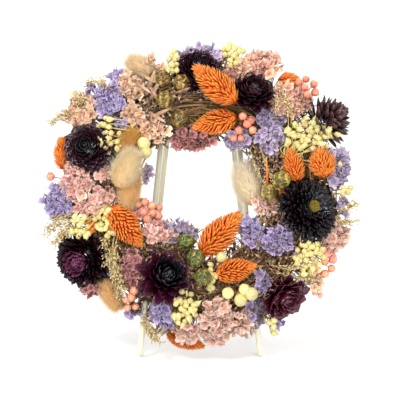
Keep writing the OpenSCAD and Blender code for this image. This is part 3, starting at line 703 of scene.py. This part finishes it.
def strawflower(name, at, d, look, slot, seed, count, wide, narrow, longest, shut=5, gather=1.2, curl=40,
                heart_up=0.42, shape=tile, seat=0.34, flick=-14, cup=0.42, heart=None, heart_share=0.0,
                heart_reach=1.0, facing=None, disc=False):
    """A rosette on a stem at [angle, out, height]. The bracts open from shut degrees at the heart to wide
    degrees at the edge; gather says how fast; curl is how far the inner ones bend over the heart. The
    first heart_share of them can have a look of their own."""
    rng = np.random.default_rng(seed)
    place = on_ring(*at)
    radial = on_ring(at[0], 1, 0) - on_ring(at[0], 0, 0)
    axis = unit(radial * at[1] + np.array([0, 0, 1.0]) * at[2])
    if facing:
        axis = unit(axis + np.array(facing))
    east, north = ways_across(axis, [0.0, 1.0, 0.2])
    r = d / 2
    i = np.arange(count)
    t = (i + 0.5) / count
    outward = between(east, north, np.radians(GOLDEN_TURN * i) + rng.normal(0, 0.06, count))
    opening = np.radians(shut + (wide - shut) * t ** gather + rng.normal(0, 4, count))
    grow = between(axis, outward, opening)
    face = between(-outward, axis, opening)
    foot_r = r * seat * np.sqrt(t)
    foot_up = r * (heart_up * (1 - t) - 0.02)
    start = place + outward * foot_r[:, None] + axis * foot_up[:, None]
    inner = t < heart_share
    length = r * (0.36 + (longest - 0.36) * t ** 0.7) * rng.uniform(0.92, 1.06, count)
    length *= np.where(inner, heart_reach, 1.0)
    width = r * narrow * (0.6 + 0.55 * t) * rng.uniform(0.9, 1.1, count)
    bend = np.radians(curl * (1 - t) + rng.normal(6, 7, count))
    tone = np.clip(t + rng.normal(0, 0.12, count), 0, 1)
    pile, middle = Pile(), Pile()
    for part, among in ((pile, ~inner), (middle, inner)):
        if among.any():
            blades(part, start[among], grow[among], face[among], length[among], width[among], 0.35,
                   bend[among], cup, tone[among], shape, rows=7, sides=7, flick=np.radians(flick * t[among]))
    if heart:
        middle.make(name + "_heart", heart, [], slot)
    if disc:
        disc_button(name, place, axis, east, north, slot, rng)
    stalks_to(pile, (place + axis * r * 0.1)[None], rng, radius=0.95, spread_mm=0.5, tone=[0.9])
    sepal = between(east, north, np.radians(360 / SEPALS * np.arange(SEPALS)))
    blades(pile, place + sepal * r * 0.15 - axis * 0.5, sepal - 0.25 * axis, axis, r * 0.6, r * 0.3,
           0.3, 0.35, 0.3, np.full(SEPALS, 0.95), spoon, rows=5, sides=6)
    pile.make(name + "_bloom", look, [name], slot)


# Each look: colours at the heart, at the edge and on the tips, roughness and gloss. The lighter tip colour
# is painted highlight; on the black heart bracts its grey is painted sheen.
plum = bract_look("plum_black_bracts", "160a0e", "240a14", "401c28", shine=0.15, gloss=0.4)
black_heart_painted_sheen = bract_look("black_bracts_painted_sheen", "121012", "0a080a", "36363e", shine=0.12, gloss=0.6)
jet = bract_look("jet_black_bracts", "0e0609", "080405", "1a0d12", shine=0.14, gloss=0.35)
rust = bract_look("rust_plum_bracts", "3c1e1e", "2c1216", "664044", shine=0.26, gloss=0.5)
wine = bract_look("wine_bracts", "4a0c1a", "521222", "702c42", shine=0.14, gloss=0.6)
purple = bract_look("purple_edged_bracts", "240914", "400c24", "541c38", shine=0.2, gloss=0.35)
magenta = bract_look("magenta_hearted_bracts", "5a1838", "340e20", "8a4a70", shine=0.18, gloss=0.4)
night = bract_look("night_black_bracts", "1c0a12", "100608", "30161e", shine=0.18, gloss=0.3)

strawflower("strawflower_left", [156, 19, 21], 43, plum, "dark_bracts", 201, count=120, shut=14, wide=94,
            gather=1.0, curl=26, longest=0.62, narrow=0.64, heart=black_heart_painted_sheen, heart_share=0.26, seat=0.42,
            facing=[0.35, -0.1, 0.3])
strawflower("strawflower_top", [91, 22, 16], 43, plum, "dark_bracts", 202, count=200, narrow=0.36, wide=92,
            heart=black_heart_painted_sheen, heart_share=0.3, shape=blunt, longest=0.62, seat=0.42, facing=[0.1, -0.1, 0.7])
strawflower("strawflower_top_right", [63, 14, 21], 37, plum, "dark_bracts", 203, count=110, shut=0, wide=80,
            curl=70, longest=0.8, narrow=0.5, heart=black_heart_painted_sheen, heart_share=0.3, shape=blunt,
            facing=[0.0, 0.2, 0.2])
strawflower("strawflower_right_top", [31, 34, 9], 46, rust, "purple_bracts", 204, count=84, shut=0, wide=84,
            gather=0.9, curl=36, longest=0.8, narrow=0.5, shape=spoon, flick=16, heart_up=0.85, cup=0.6)
strawflower("strawflower_right", [354, 10, 26], 50, jet, "dark_bracts", 205, count=190, shut=54, wide=102,
            gather=1.0, curl=24, narrow=0.36, disc=True, heart_up=0.24, longest=0.57, seat=0.6, shape=spoon,
            heart=black_heart_painted_sheen, heart_share=0.2, heart_reach=0.8, facing=[0.15, 0.3, 0.0])
strawflower("strawflower_low_right", [310, 21, 19], 38, wine, "purple_bracts", 206, count=60, shut=0,
            wide=66, gather=0.9, curl=46, narrow=0.66, longest=1.0, cup=0.6, shape=blunt)
strawflower("strawflower_low", [246, -6, 22], 48, purple, "dark_bracts", 207, count=120, shut=0, wide=92,
            gather=2.0, curl=66, narrow=0.42, longest=0.8, heart=black_heart_painted_sheen, heart_share=0.66, heart_reach=1.15,
            facing=[0.25, 0.1, 0.0], heart_up=0.26)
strawflower("strawflower_low_left", [208, 27, 14], 50, night, "purple_bracts", 208, count=260, shut=4,
            wide=96, gather=0.9, narrow=0.26, seat=0.5, longest=0.56, heart=magenta, heart_share=0.34,
            facing=[0.2, 0.1, 0.5])


# ---- Canary grass ----
# Seed heads of canary grass dyed orange: tight eggs of folded, pointed scales
# that overlap like tiles and stand out a little at the tips.
SCALES_OUT = 64                             # how far the lowest scales lean out, in degrees
FEWEST_SCALES = 115
SCALES_PER_MM = 9.5                         # how many more there are for each mm of a head's width


def seed_head(base, tip):
    """A head's ends, both given as [angle, out, height], its axis and length, and two ways across it."""
    p, q = on_ring(*base), on_ring(*tip)
    axis = unit(q - p)
    return p, q, axis, np.linalg.norm(q - p), *ways_across(axis, [0.1, 0.2, 1.0])


def canary(pile, base, tip, width, shaggy, rng):
    """One head from base to tip; shaggy is how long its scales are."""
    count = int(SCALES_PER_MM * width + FEWEST_SCALES)
    p, q, axis, length, east, north = seed_head(base, tip)
    i = np.arange(count)
    t = (i - 3.5) / (count - 4)
    outward = between(east, north, np.radians(GOLDEN_TURN * i) + rng.normal(0, 0.05, count))
    full = np.sin(np.pi * np.clip(t * 0.93 + 0.05, 0.01, 1) ** 0.72) ** 0.7
    scale_l = width * 0.31 * shaggy * rng.uniform(0.85, 1.15, count) * (1 - 0.25 * t)
    lean_out = np.radians(SCALES_OUT * (1 - 0.55 * t) + rng.normal(0, 5, count))
    grow = between(axis, outward, lean_out)
    face = between(outward, -axis, lean_out)
    core = np.maximum(width / 2 * full - scale_l * np.sin(lean_out) * 0.8, 0.3)
    start = p + axis * (length * 0.86 * t - 1.0)[:, None] + outward * core[:, None]
    blades(pile, start, grow, face, scale_l, width * 0.14 * rng.uniform(0.85, 1.15, count), 0.5,
           np.radians(-16), -0.75, rng.random(count), lance, rows=5, sides=5)
    s = np.linspace(0, 1, 9)
    inside = np.sin(np.pi * np.clip(s * 0.93 + 0.04, 0, 1) ** 0.72) ** 0.7
    core_path = p + (q - p) * (0.04 + 0.84 * s[:, None])
    tubes(pile, core_path[None], (width * 0.3 * inside)[None], [0.1], sides=12, stem=0.0, along=np.zeros(9))
    stalks_to(pile, p[None], rng, radius=0.8, spread_mm=0.5)


orange_look = petal_look("orange_dyed_scales", "b43604", "f67414", "ffb258", "b5742c", rough=0.6,
                         fleck="c8520c", fleck_amount=0.35, size=1200.0, wander=0.2, middle_at=0.4,
                         Specular_IOR_Level=0.25)
# Each sprig: its heads as base, tip, width and shagginess.
CANARY = [
    ("canary_top", [([70, 3, 37], [93, 27, 41], 24, 1.35)]),
    ("canary_inner_top", [([66, -8, 24], [98, -22, 22], 21, 1.0)]),
    ("canary_inner_low", [([272, -32, 17], [340, -42, 20], 26, 1.3)]),
    ("canary_low", [([282, -14, 24], [311, -6, 31], 20, 1.1)]),
    ("canary_inner_left", [([187, -6, 28], [224, -16, 24], 24, 0.75)]),
    ("canary_bottom", [([257, 35, 6], [273, 44, 4], 16, 1.0)]),
    ("canary_right", [([9, 1, 24], [29, 4, 27], 17, 1.6), ([9, 24, 23], [22, 24, 27], 22, 1.5)]),
    ("canary_small", [([168, 34, 12], [157, 43, 11], 15, 2.0), ([192, 10, 22], [199, 14, 25], 11, 1.0),
                      ([56, 36, 11], [49, 43, 13], 15, 2.0), ([1, -8, 22], [7, -12, 24], 10, 1.5)]),
]
for seed, (name, heads) in enumerate(CANARY):
    rng = np.random.default_rng(300 + seed)
    pile = Pile()
    for base, tip, width, shaggy in heads:
        canary(pile, base, tip, width, shaggy, rng)
    pile.make(name + "_scales", orange_look, nodes_of(name), "orange_canary")

ORANGE_LEAF = [[54, 4], [55, 34]]           # one slender orange leaf, from its foot to its point
orange_leaf = Pile()
leaf_ends, leaf_out = dome(*np.array(ORANGE_LEAF, float).T)
leaf_way = leaf_ends[1:] - leaf_ends[:1]
blades(orange_leaf, leaf_ends[:1] + leaf_out[:1] * 2, leaf_way + leaf_out[:1] * 6, leaf_out[:1],
       np.linalg.norm(leaf_way), 2.8, 0.3, 0.2, 0.5, [0.6], lance, rows=9, sides=6)
orange_leaf.make("orange_leaf", orange_look, [], "orange_canary")


# ---- Bunny tails ----
# Soft seed heads of hare's-tail grass, cream or dyed amber: a small egg under
# long silky hairs that all lie towards its tip. The amber one's brown is partly painted shade.
BUNNY_HAIRS = 5200
HAIR_W = 0.17
HAIR_THICK = 0.07
STRAY_SHARE = 0.12                          # of the hairs, which are longer and stand out more


def egg(t):
    """How full a head is from its base at 0 to its tip at 1."""
    return np.sin(np.pi * np.clip(t * 0.94 + 0.03, 0, 1) ** 0.8) ** 0.6


def bunny_tail(name, base, tip, width, look, slot, seed, fluff):
    """One head from base to tip; its hairs lean out by about fluff degrees."""
    rng = np.random.default_rng(seed)
    pile = Pile()
    p, q, axis, length, east, north = seed_head(base, tip)
    s = np.linspace(0, 1, 16)
    # The egg under the hairs takes the root colour: partly painted shade deep in the fur.
    tubes(pile, (p + (q - p) * 0.94 * s[:, None])[None], (width * 0.38 * egg(s))[None], [0.5], sides=20,
          stem=0.0, along=np.full(16, 0.42))
    n = BUNNY_HAIRS
    t = rng.random(n)
    outward = between(east, north, rng.uniform(0, 2 * np.pi, n))
    stray = rng.random(n) < STRAY_SHARE
    hair = rng.uniform(0.18, 0.42, n) * width * np.where(stray, 1.6, 1.0)
    out_by = np.radians(rng.normal(fluff, 15, n) + np.where(stray, 12, 0))
    start = p + axis * (length * (0.9 * t - 0.01))[:, None] + outward * (width * 0.36 * egg(t))[:, None]
    grow = between(axis, outward, out_by) + rng.normal(0, 0.12, (n, 3))
    # Each hair runs from the root colour, partly painted shade, to the tip colour.
    blades(pile, start, grow, outward, hair, HAIR_W, HAIR_THICK, np.radians(rng.normal(-6, 12, n)), 0.0,
           rng.random(n), lambda u: 1 - 0.8 * u, rows=2, sides=3, along=np.array([0.42, 1.0]))
    stalks_to(pile, p[None], rng, radius=0.7, spread_mm=0.5)
    pile.make(name + "_fur", look, nodes_of(name), slot)


# Each fur: its hairs' colours at the root, in the middle and at the tip, its stalk's colour, how much the
# hairs differ, and sheen. The deeper orange at the root is partly painted shade deep in the fur.
FURS = {
    "cream": ("f2a850", "ffdea2", "fff6d6", "b99a5c", 0.08, 0.15),
    # peach and pale are lightened copies of cream fur, painted light for tails that lie in shade; peach also
    # keeps a peach hue of its own.
    "peach": ("ffb878", "ffdca6", "fff0d0", "b99a5c", 0.08, 0.05),
    "pale": ("f4c080", "ffecc4", "fffcec", "b99a5c", 0.08, 0.15),
    # amber: orange fur darkened to brown, partly painted shade.
    "amber": ("a86014", "e09a42", "f8c878", "9a7a40", 0.15, 0.0),
    "apricot": ("e89038", "ffc474", "ffe8b4", "b99a5c", 0.1, 0.1),
}
furs = {}
for tint, (root_with_painted_shade, middle, tip, stalk, wander, sheen) in FURS.items():
    furs[tint] = petal_look(tint + "_silky_hairs", root_with_painted_shade, middle, tip, stalk, rough=0.9, fleck_amount=0.0,
                            wander=wander, Specular_IOR_Level=0.1, Sheen_Weight=sheen)
# Each tail: base, tip, width, fur, seed and how far its hairs lean out.
BUNNY_TAILS = [
    ("bunny_tail_left", [173, -12, 34], [144, -14, 33], 22, "cream", 401, 33),
    ("bunny_tail_second_left", [157, -20, 26], [188, -18, 27], 18, "apricot", 406, 33),
    ("bunny_tail_top_left", [110, 25, 12], [118, 48, 11], 18, "peach", 402, 36),
    ("bunny_tail_inner_right", [353, -32, 12], [41, -35, 13.5], 27, "pale", 403, 33),
    ("bunny_tail_low_left", [219, 24, 15], [235, 34, 13], 17, "apricot", 404, 42),
    ("bunny_tail_amber", [151, -5, 25], [133, -4, 25], 15, "amber", 405, 33),
]
for name, base, tip, width, tint, seed, fluff in BUNNY_TAILS:
    slot = "amber_tail" if tint == "amber" else "cream_tail"
    bunny_tail(name, base, tip, width, furs[tint], slot, seed, fluff)


# ---- Seed balls ----
# Dry round seed pods the size of a marble, olive green under a raised golden
# net of wrinkles, each with a small crown where its flower was.
BALL_D = 14.4
BALL_CELLS = 75                             # how many meshes the net of wrinkles has
BALL_ROWS = 46
BALL_SIDES = 64


def seed_ball(pile, place, rng):
    """A wrinkled ball at a point, its crown away from the straw."""
    v = np.linspace(0.02, np.pi - 0.02, BALL_ROWS)[::-1]
    turn = around(BALL_SIDES)
    local = np.stack([np.sin(v)[:, None] * np.cos(turn), np.sin(v)[:, None] * np.sin(turn),
                      np.broadcast_to(np.cos(v)[:, None], (BALL_ROWS, BALL_SIDES))], -1)
    seeds = unit(rng.normal(size=(BALL_CELLS, 3)) * [1.0, 1.0, 0.8])
    drift = local + 0.16 * np.sin(6.0 * local[..., [1, 2, 0]] + rng.uniform(0, 6.28, 3))
    near = np.sort(np.arccos(np.clip(unit(drift) @ seeds.T, -1, 1)), -1)
    strength = 0.75 + 0.25 * np.sin(7 * local[..., 0] + 5 * local[..., 1] + rng.uniform(0, 6.28))
    ridge = strength * np.exp(-((near[..., 1] - near[..., 0]) / 0.13) ** 2)
    crown = np.exp(-(v / 0.22) ** 2)[:, None]
    r = BALL_D / 2 * (0.85 + 0.15 * ridge + 0.08 * crown + 0.02 * np.cos(5 * turn) * np.sin(v)[:, None])
    radial = unit(np.array([place[0], place[1], 0.0]))
    way = unit(radial * (np.hypot(place[0], place[1]) - ring_r) + np.array([0, 0, 1.0]) * place[2]
               + rng.normal(0, 0.35, 3))
    points = place + (local * r[..., None]) @ np.stack([*ways_across(way, [0.3, 0.5, 0.2]), way])
    # The colour mark follows the net: dark grooves as painted shade, bright ridges partly as painted
    # highlight.
    pile.add(points[None], [rng.random()], (0.15 + 0.85 * ridge)[None])


def ball_look(name, groove, middle, ridge, rough, fleck, fleck_amount):
    """A pod's skin under its net, which is as light as ridge on top. The dark groove colour is painted
    shade, and the ridges' bright gold is partly painted highlight.
    """
    return petal_look(name, groove, middle, ridge, "8a7a40", rough=rough, fleck=fleck,
                      fleck_amount=fleck_amount, size=330.0, wander=0.2, bump=0.5)


olive_pod = ball_look("netted_olive_pod", "30240a", "86682c", "e8c668", 0.28, "4c5a22", 0.6)
green_pod = ball_look("netted_green_pod", "1e240a", "56581f", "b2a052", 0.24, "3c6428", 0.7)
# Each sprig: its skin, and its balls as [angle, out, height].
SEED_BALLS = [
    ("seed_balls_top", olive_pod, [[108, 22, 23], [99, 15, 25], [110, 5, 28], [105, -13, 22]]),
    ("seed_balls_right", olive_pod, [[12, -11, 31], [4, -23, 29]]),
    ("seed_balls_low", green_pod, [[253, -40, 20], [266, -29, 32], [272, -14, 34]]),
]
for seed, (name, look, balls) in enumerate(SEED_BALLS):
    rng = np.random.default_rng(500 + seed)
    pile = Pile()
    places = np.array([on_ring(*ball) for ball in balls])
    for place in places:
        seed_ball(pile, place, rng)
    stalks_to(pile, places, rng, radius=0.6, spread_mm=1.0)
    pile.make(name + "_pods", look, [name], "seed_ball")


# ---- Flax pods and yellow buds ----
# Pale yellow seed capsules of flax, round with a sharp point and five creases,
# in sprays of thin pale stalks, and a few larger round buds.
POD_D = 4.9
POD_SIDES = 16
BUD_D = 10.2
SPRAY_STALK_R = 0.36


def capsules(pile, places, ways, d, rng, point, crease, long=1.0):
    """Round pods with a point and five creases, centred at their places."""
    n = len(places)
    v = np.linspace(0.05, 1, 10)
    radius = np.sin(np.pi * v ** 0.92) ** 0.62
    radius[-1] = 0.02
    radius[-2] *= 0.6
    height = (v - 0.47) + point * v ** 8
    turn = around(POD_SIDES)
    groove = 1 - crease * np.abs(np.cos(2.5 * turn)) ** 6 - 0.02 * np.cos(3 * turn)
    sizes = d * rng.uniform(0.88, 1.1, (n, 1))
    turned(pile, places, ways, sizes / 2 * radius, sizes * long * height, rng.random(n), v, rng, POD_SIDES,
           swell=groove)


def spray_over(pile, fork, x, y, ends, rng):
    """Pale stalks that run from a fork over the other flowers to every other pod's end."""
    steps = np.linspace(0, 1, 8)
    sway = rng.normal(0, 2.5, (len(x), 2, 1)) * np.sin(np.pi * steps)
    over, up = dome(fork[0] + (x[:, None] - fork[0]) * steps + sway[:, 0],
                    fork[1] + (y[:, None] - fork[1]) * steps + sway[:, 1])
    path = over + up * (1.0 + 2.2 * np.sin(np.pi * steps) ** 0.7)[None, :, None]
    path += (ends[:, None] - path[:, -1:]) * steps[None, :, None] ** 3
    tubes(pile, path[::2], SPRAY_STALK_R, rng.random(len(x[::2])), sides=4, stem=0.6)


pod_look = petal_look("pale_yellow_capsule", "a07c38", "ecd884", "faf0b0", "d8c46c", rough=0.5,
                      fleck="7d6a2a", fleck_amount=0.4, size=620.0, wander=0.16, middle_at=0.3, bump=0.3)
# Each spray: patches [x, y, half width, half height, pods], larger buds [x, y, height], and where the
# stalks that show over the other flowers come together.
FLAX = [
    ("flax_pods_left", [[-75, 49, 6, 16, 17], [-64, 44, 3, 8, 4]],
     [[-45, 43, 5], [-43.5, 36, 5]], [-48, 52]),
    ("flax_pods_far_left", [[-94, -24, 7, 11, 14], [-74, -20, 9, 12, 19]], [], [-72, -6]),
    ("flax_pods_right", [[86, 49, 20, 13, 46], [110, 26, 1, 1, 1]], [], [68, 32]),
    ("flax_pods_low_right", [[86, -46, 11, 17, 36]], [], []),
    ("flax_pods_low", [[-12, -88, 10, 14, 28], [9, -64, 3, 11, 11]], [], []),
    ("flax_pods_top", [[-21, 105, 5, 9, 11], [26, 111, 8, 9, 16]], [], []),
    ("flax_pods_far_right", [[114, 5, 5, 4, 5]], [], []),
    ("flax_pods_bottom", [[56, -101, 4, 6, 4], [-100, 79, 1, 1, 1]], [], []),
    ("yellow_buds_low", [], [[17.5, -49, 5], [22, -76, 5], [32, -81, 5], [35, -73, 5], [40.5, -76, 8]], []),
]
for seed, (name, patches, buds, fork) in enumerate(FLAX):
    rng = np.random.default_rng(600 + seed)
    pile = Pile()
    for patch in patches:
        x, y = spread(patch, patch[4], rng)
        point, normal = dome(x, y)
        places = point + normal * each(rng, 1.5, 5.5, len(x))
        ways = swayed(normal, 0.5, rng)
        capsules(pile, places, ways, POD_D, rng, point=0.3, crease=0.12, long=1.3)
        stalks_to(pile, places - ways * 2.5, rng, spread_mm=4.0)
        if fork:
            spray_over(pile, fork, x, y, places - ways * 2.5, rng)
    if buds:
        x, y, height = np.array(buds, float).T
        point, normal = dome(x, y)
        places = point + normal * height[:, None]
        ways = swayed(normal, 0.3, rng)
        capsules(pile, places, ways, BUD_D, rng, point=0.06, crease=0.03)
        stalks_to(pile, places - normal * 3.0, rng, radius=0.7, spread_mm=2.0)
    pile.make(name + "_spray", pod_look, nodes_of(name), "yellow_pod")


# ---- Coral berries ----
# Small dry berries, salmon red with yellow streaks that run to a tiny tip, in
# twos to fours on short stalks.
berry_look = petal_look("coral_berry_skin", "a83238", "dc6458", "f4ac84", "8a6a44", rough=0.38,
                        fleck="f6c8a0", fleck_amount=0.7, size=700.0, wander=0.18, bump=0.15)
BERRY_D = 6.9
# Each sprig: its berries as [x, y].
BERRIES = [
    ("coral_berries_top", [[37.5, 58], [31, 53], [34, 64], [42, 53], [27, 47], [40, 61], [33, 47]]),
    ("coral_berries_left", [[-50, -6], [-45, -4], [-46, -12], [-40, -7], [-39, -13], [-34, -9], [-43, -18],
                            [-34, -16], [-51, 1]]),
    ("coral_berries_right", [[77, 90], [83, 92], [82, 86], [89, 88], [84, 80], [90, 82]]),
    ("coral_berries_low_left", [[-54, -79], [-51, -86], [-57, -87], [-58, -81], [-52, -74]]),
    ("coral_berries_low_right", [[99, -45], [104, -49], [98, -51], [103, -56], [98, -60], [-117, 16]]),
]
for seed, (name, berries) in enumerate(BERRIES):
    rng = np.random.default_rng(700 + seed)
    pile = Pile()
    point, normal = dome(*np.array(berries, float).T)
    places = point + normal * 3.0
    ways = swayed(normal, 0.5, rng)
    capsules(pile, places, ways, BERRY_D, rng, point=0.12, crease=0.12)
    stalks_to(pile, point, rng, spread_mm=2.0)
    pile.make(name + "_fruit", berry_look, nodes_of(name), "coral_berry")


# ---- Calyxes and seed grass ----
# Bare brown calyxes whose flowers have dropped, and fine sprays of beige and
# olive grass seed that reach past the other flowers.
def scrap_patch(pile, patch, rng, length, spiky, bunch, wide, curl):
    """Bunches of pointed scraps that stand out of a patch of the face."""
    count = patch[4]
    point, normal = dome(*spread(patch, count, rng))
    for _ in range(bunch):
        grow = swayed(normal, spiky, rng)
        blades(pile, point - normal * 4.5, grow, np.cross(grow, rng.normal(size=(count, 3))),
               length * rng.uniform(0.7, 1.3, count), wide * rng.uniform(0.6, 1.4, count), 0.2,
               np.radians(rng.normal(0, curl, count)), 0.3, rng.random(count), lance, rows=4, sides=4)
    stalks_to(pile, point - normal * 4.0, rng)


def seed_spray(pile, start, end, rng, seeds, wide, bow):
    """A thin stalk from start to end, both [x, y], with small seeds along its outer part."""
    s = np.linspace(0, 1, 12)
    across = unit(np.array([end[1] - start[1], start[0] - end[0]], float))
    x = start[0] + (end[0] - start[0]) * s + across[0] * bow * np.sin(np.pi * s)
    y = start[1] + (end[1] - start[1]) * s + across[1] * bow * np.sin(np.pi * s)
    point, normal = dome(x, y)
    path = point + normal * (1.5 + 3.5 * s ** 0.6)[:, None]
    tubes(pile, path[None], np.linspace(0.5, 0.2, 12)[None], [rng.random()], sides=4)
    t = rng.uniform(0.25, 1.0, seeds)
    where = np.stack([np.interp(t, s, path[:, i]) for i in range(3)], -1)
    off = rng.normal(0, 1, (seeds, 3)) * wide * 0.42
    lie = unit(path[-1] - path[0])
    blades(pile, where + off, unit(lie + rng.normal(0, 0.6, (seeds, 3))), rng.normal(size=(seeds, 3)),
           rng.uniform(2.0, 3.2, seeds), rng.uniform(1.5, 2.3, seeds), 0.7, 0.2, 0.2, rng.random(seeds),
           lance, rows=4, sides=4)
    twig = np.stack([where, where + off * 0.6, where + off], 1)
    tubes(pile, twig, np.full((seeds, 3), 0.16), rng.random(seeds), sides=3)


rng = np.random.default_rng(801)
calyx_look = petal_look("brown_calyx", "43281a", "7c5434", "b28a60", "5d482f", rough=0.7, wander=0.4)
# Patches of calyxes and of leaf scraps: x, y, half width, half height and how many bunches.
CALYX_PATCHES = [
    [-42, 87, 10, 7, 16], [2, 46, 12, 6, 16], [-70, 7, 6, 4, 8], [35, -95, 8, 9, 12], [57, -48, 24, 18, 50],
    [50, 28, 14, 20, 40], [-58, -50, 10, 18, 26], [-66, 6, 12, 10, 20], [24, 98, 14, 8, 20],
    [74, 64, 20, 14, 22], [-46, -88, 12, 8, 18], [70, -76, 10, 8, 12], [92, 14, 8, 14, 14],
    [-20, -40, 14, 12, 30], [60, -12, 10, 14, 20], [34, -40, 9, 12, 30], [0, -72, 50, 14, 40],
]
LEAF_PATCHES = [
    [-43, 74, 8, 10, 24], [-28, 78, 14, 14, 28], [8, 84, 26, 10, 16], [60, 30, 10, 22, 44],
    [46, 34, 8, 22, 24], [52, -44, 26, 16, 56], [-62, -4, 8, 16, 30], [60, -66, 16, 12, 30],
    [6, -70, 40, 12, 50], [-50, -56, 12, 20, 30], [-26, -104, 16, 8, 14], [-38, -44, 12, 12, 16],
    [94, 34, 16, 14, 16], [36, -98, 16, 12, 16], [-12, -24, 14, 6, 12], [-46, -10, 8, 8, 10],
    [-20, -42, 14, 14, 30], [58, -14, 12, 14, 20], [-4, -58, 20, 10, 20],
]
calyxes = Pile()
for patch in CALYX_PATCHES:
    scrap_patch(calyxes, patch, rng, length=7.0, spiky=0.5, bunch=6, wide=1.5, curl=25.0)
calyxes.make("brown_calyxes", calyx_look, [], "dry_stems")

leaf_look = petal_look("beige_dry_leaf", "7c5a42", "b48e6c", "dec2a4", "7d6243", rough=0.75, wander=0.35)
leaves = Pile()
for patch in LEAF_PATCHES:
    scrap_patch(leaves, patch, rng, length=9.0, spiky=0.9, bunch=3, wide=3.4, curl=55.0)
scrap_patch(leaves, [-40, 84, 9, 8, 10], rng, length=14.0, spiky=0.8, bunch=2, wide=5.0, curl=30.0)
scrap_patch(leaves, [-28, 76, 14, 12, 12], rng, length=17.0, spiky=0.9, bunch=2, wide=4.6, curl=30.0)
# Single long leaves, from the foot's x and y to the point's.
LONG_LEAVES = [
    [-40, 76, -29, 97], [-43, 80, -35, 101], [-55, 94, -38, 81], [-53, 100, -34, 89], [-41, 62, -22, 71],
    [-42, 68, -27, 59], [-30, 72, -40, 88],
]
foot_x, foot_y, point_x, point_y = np.array(LONG_LEAVES, float).T
leaf_foot, leaf_up = dome(foot_x, foot_y)
leaf_way = dome(point_x, point_y)[0] - leaf_foot
blades(leaves, leaf_foot + leaf_up, leaf_way + leaf_up * 5, leaf_up, np.linalg.norm(leaf_way, axis=1),
       5.2, 0.2, -0.3, 0.5, rng.uniform(0.5, 1, len(LONG_LEAVES)), lance, rows=9, sides=6)
leaves.make("beige_leaf_scraps", leaf_look, [], "dry_stems")

grass_look = petal_look("beige_grass_seed", "bc9c60", "ecd498", "fff4cc", "c4a86c", rough=0.65, wander=0.2)
# Full sprays and narrow ones, from the foot's x and y to the end's.
FULL_SPRAYS = [
    [-68, 83, -88, 88], [-92, 66, -116, 55], [-100, 72, -92, 80], [-92, -20, -121, -30],
    [-96, -28, -114, -38], [-92, -26, -110, -31], [-66, -26, -66, -70], [-66, -34, -58, -76],
    [-70, -24, -72, -52], [-46, -88, -30, -113], [-44, -84, -34, -110], [104, -8, 121, -4],
    [104, -12, 121, -18], [60, -58, 90, -62], [56, -54, 84, -50], [-64, -28, -64, -66],
    [-68, -30, -62, -80], [-96, -16, -118, -24],
]
NARROW_SPRAYS = [[70, 54, 62, 88], [72, 56, 66, 80], [58, 62, 60, 78], [48, 42, 62, 8], [40, 38, 58, 2]]
grass = Pile()
for spray in FULL_SPRAYS:
    seed_spray(grass, spray[:2], spray[2:], rng, seeds=80, wide=4.2, bow=4.0)
for spray in NARROW_SPRAYS:
    seed_spray(grass, spray[:2], spray[2:], rng, seeds=60, wide=2.2, bow=2.0)
grass.make("seed_grass", grass_look, [], "straw")
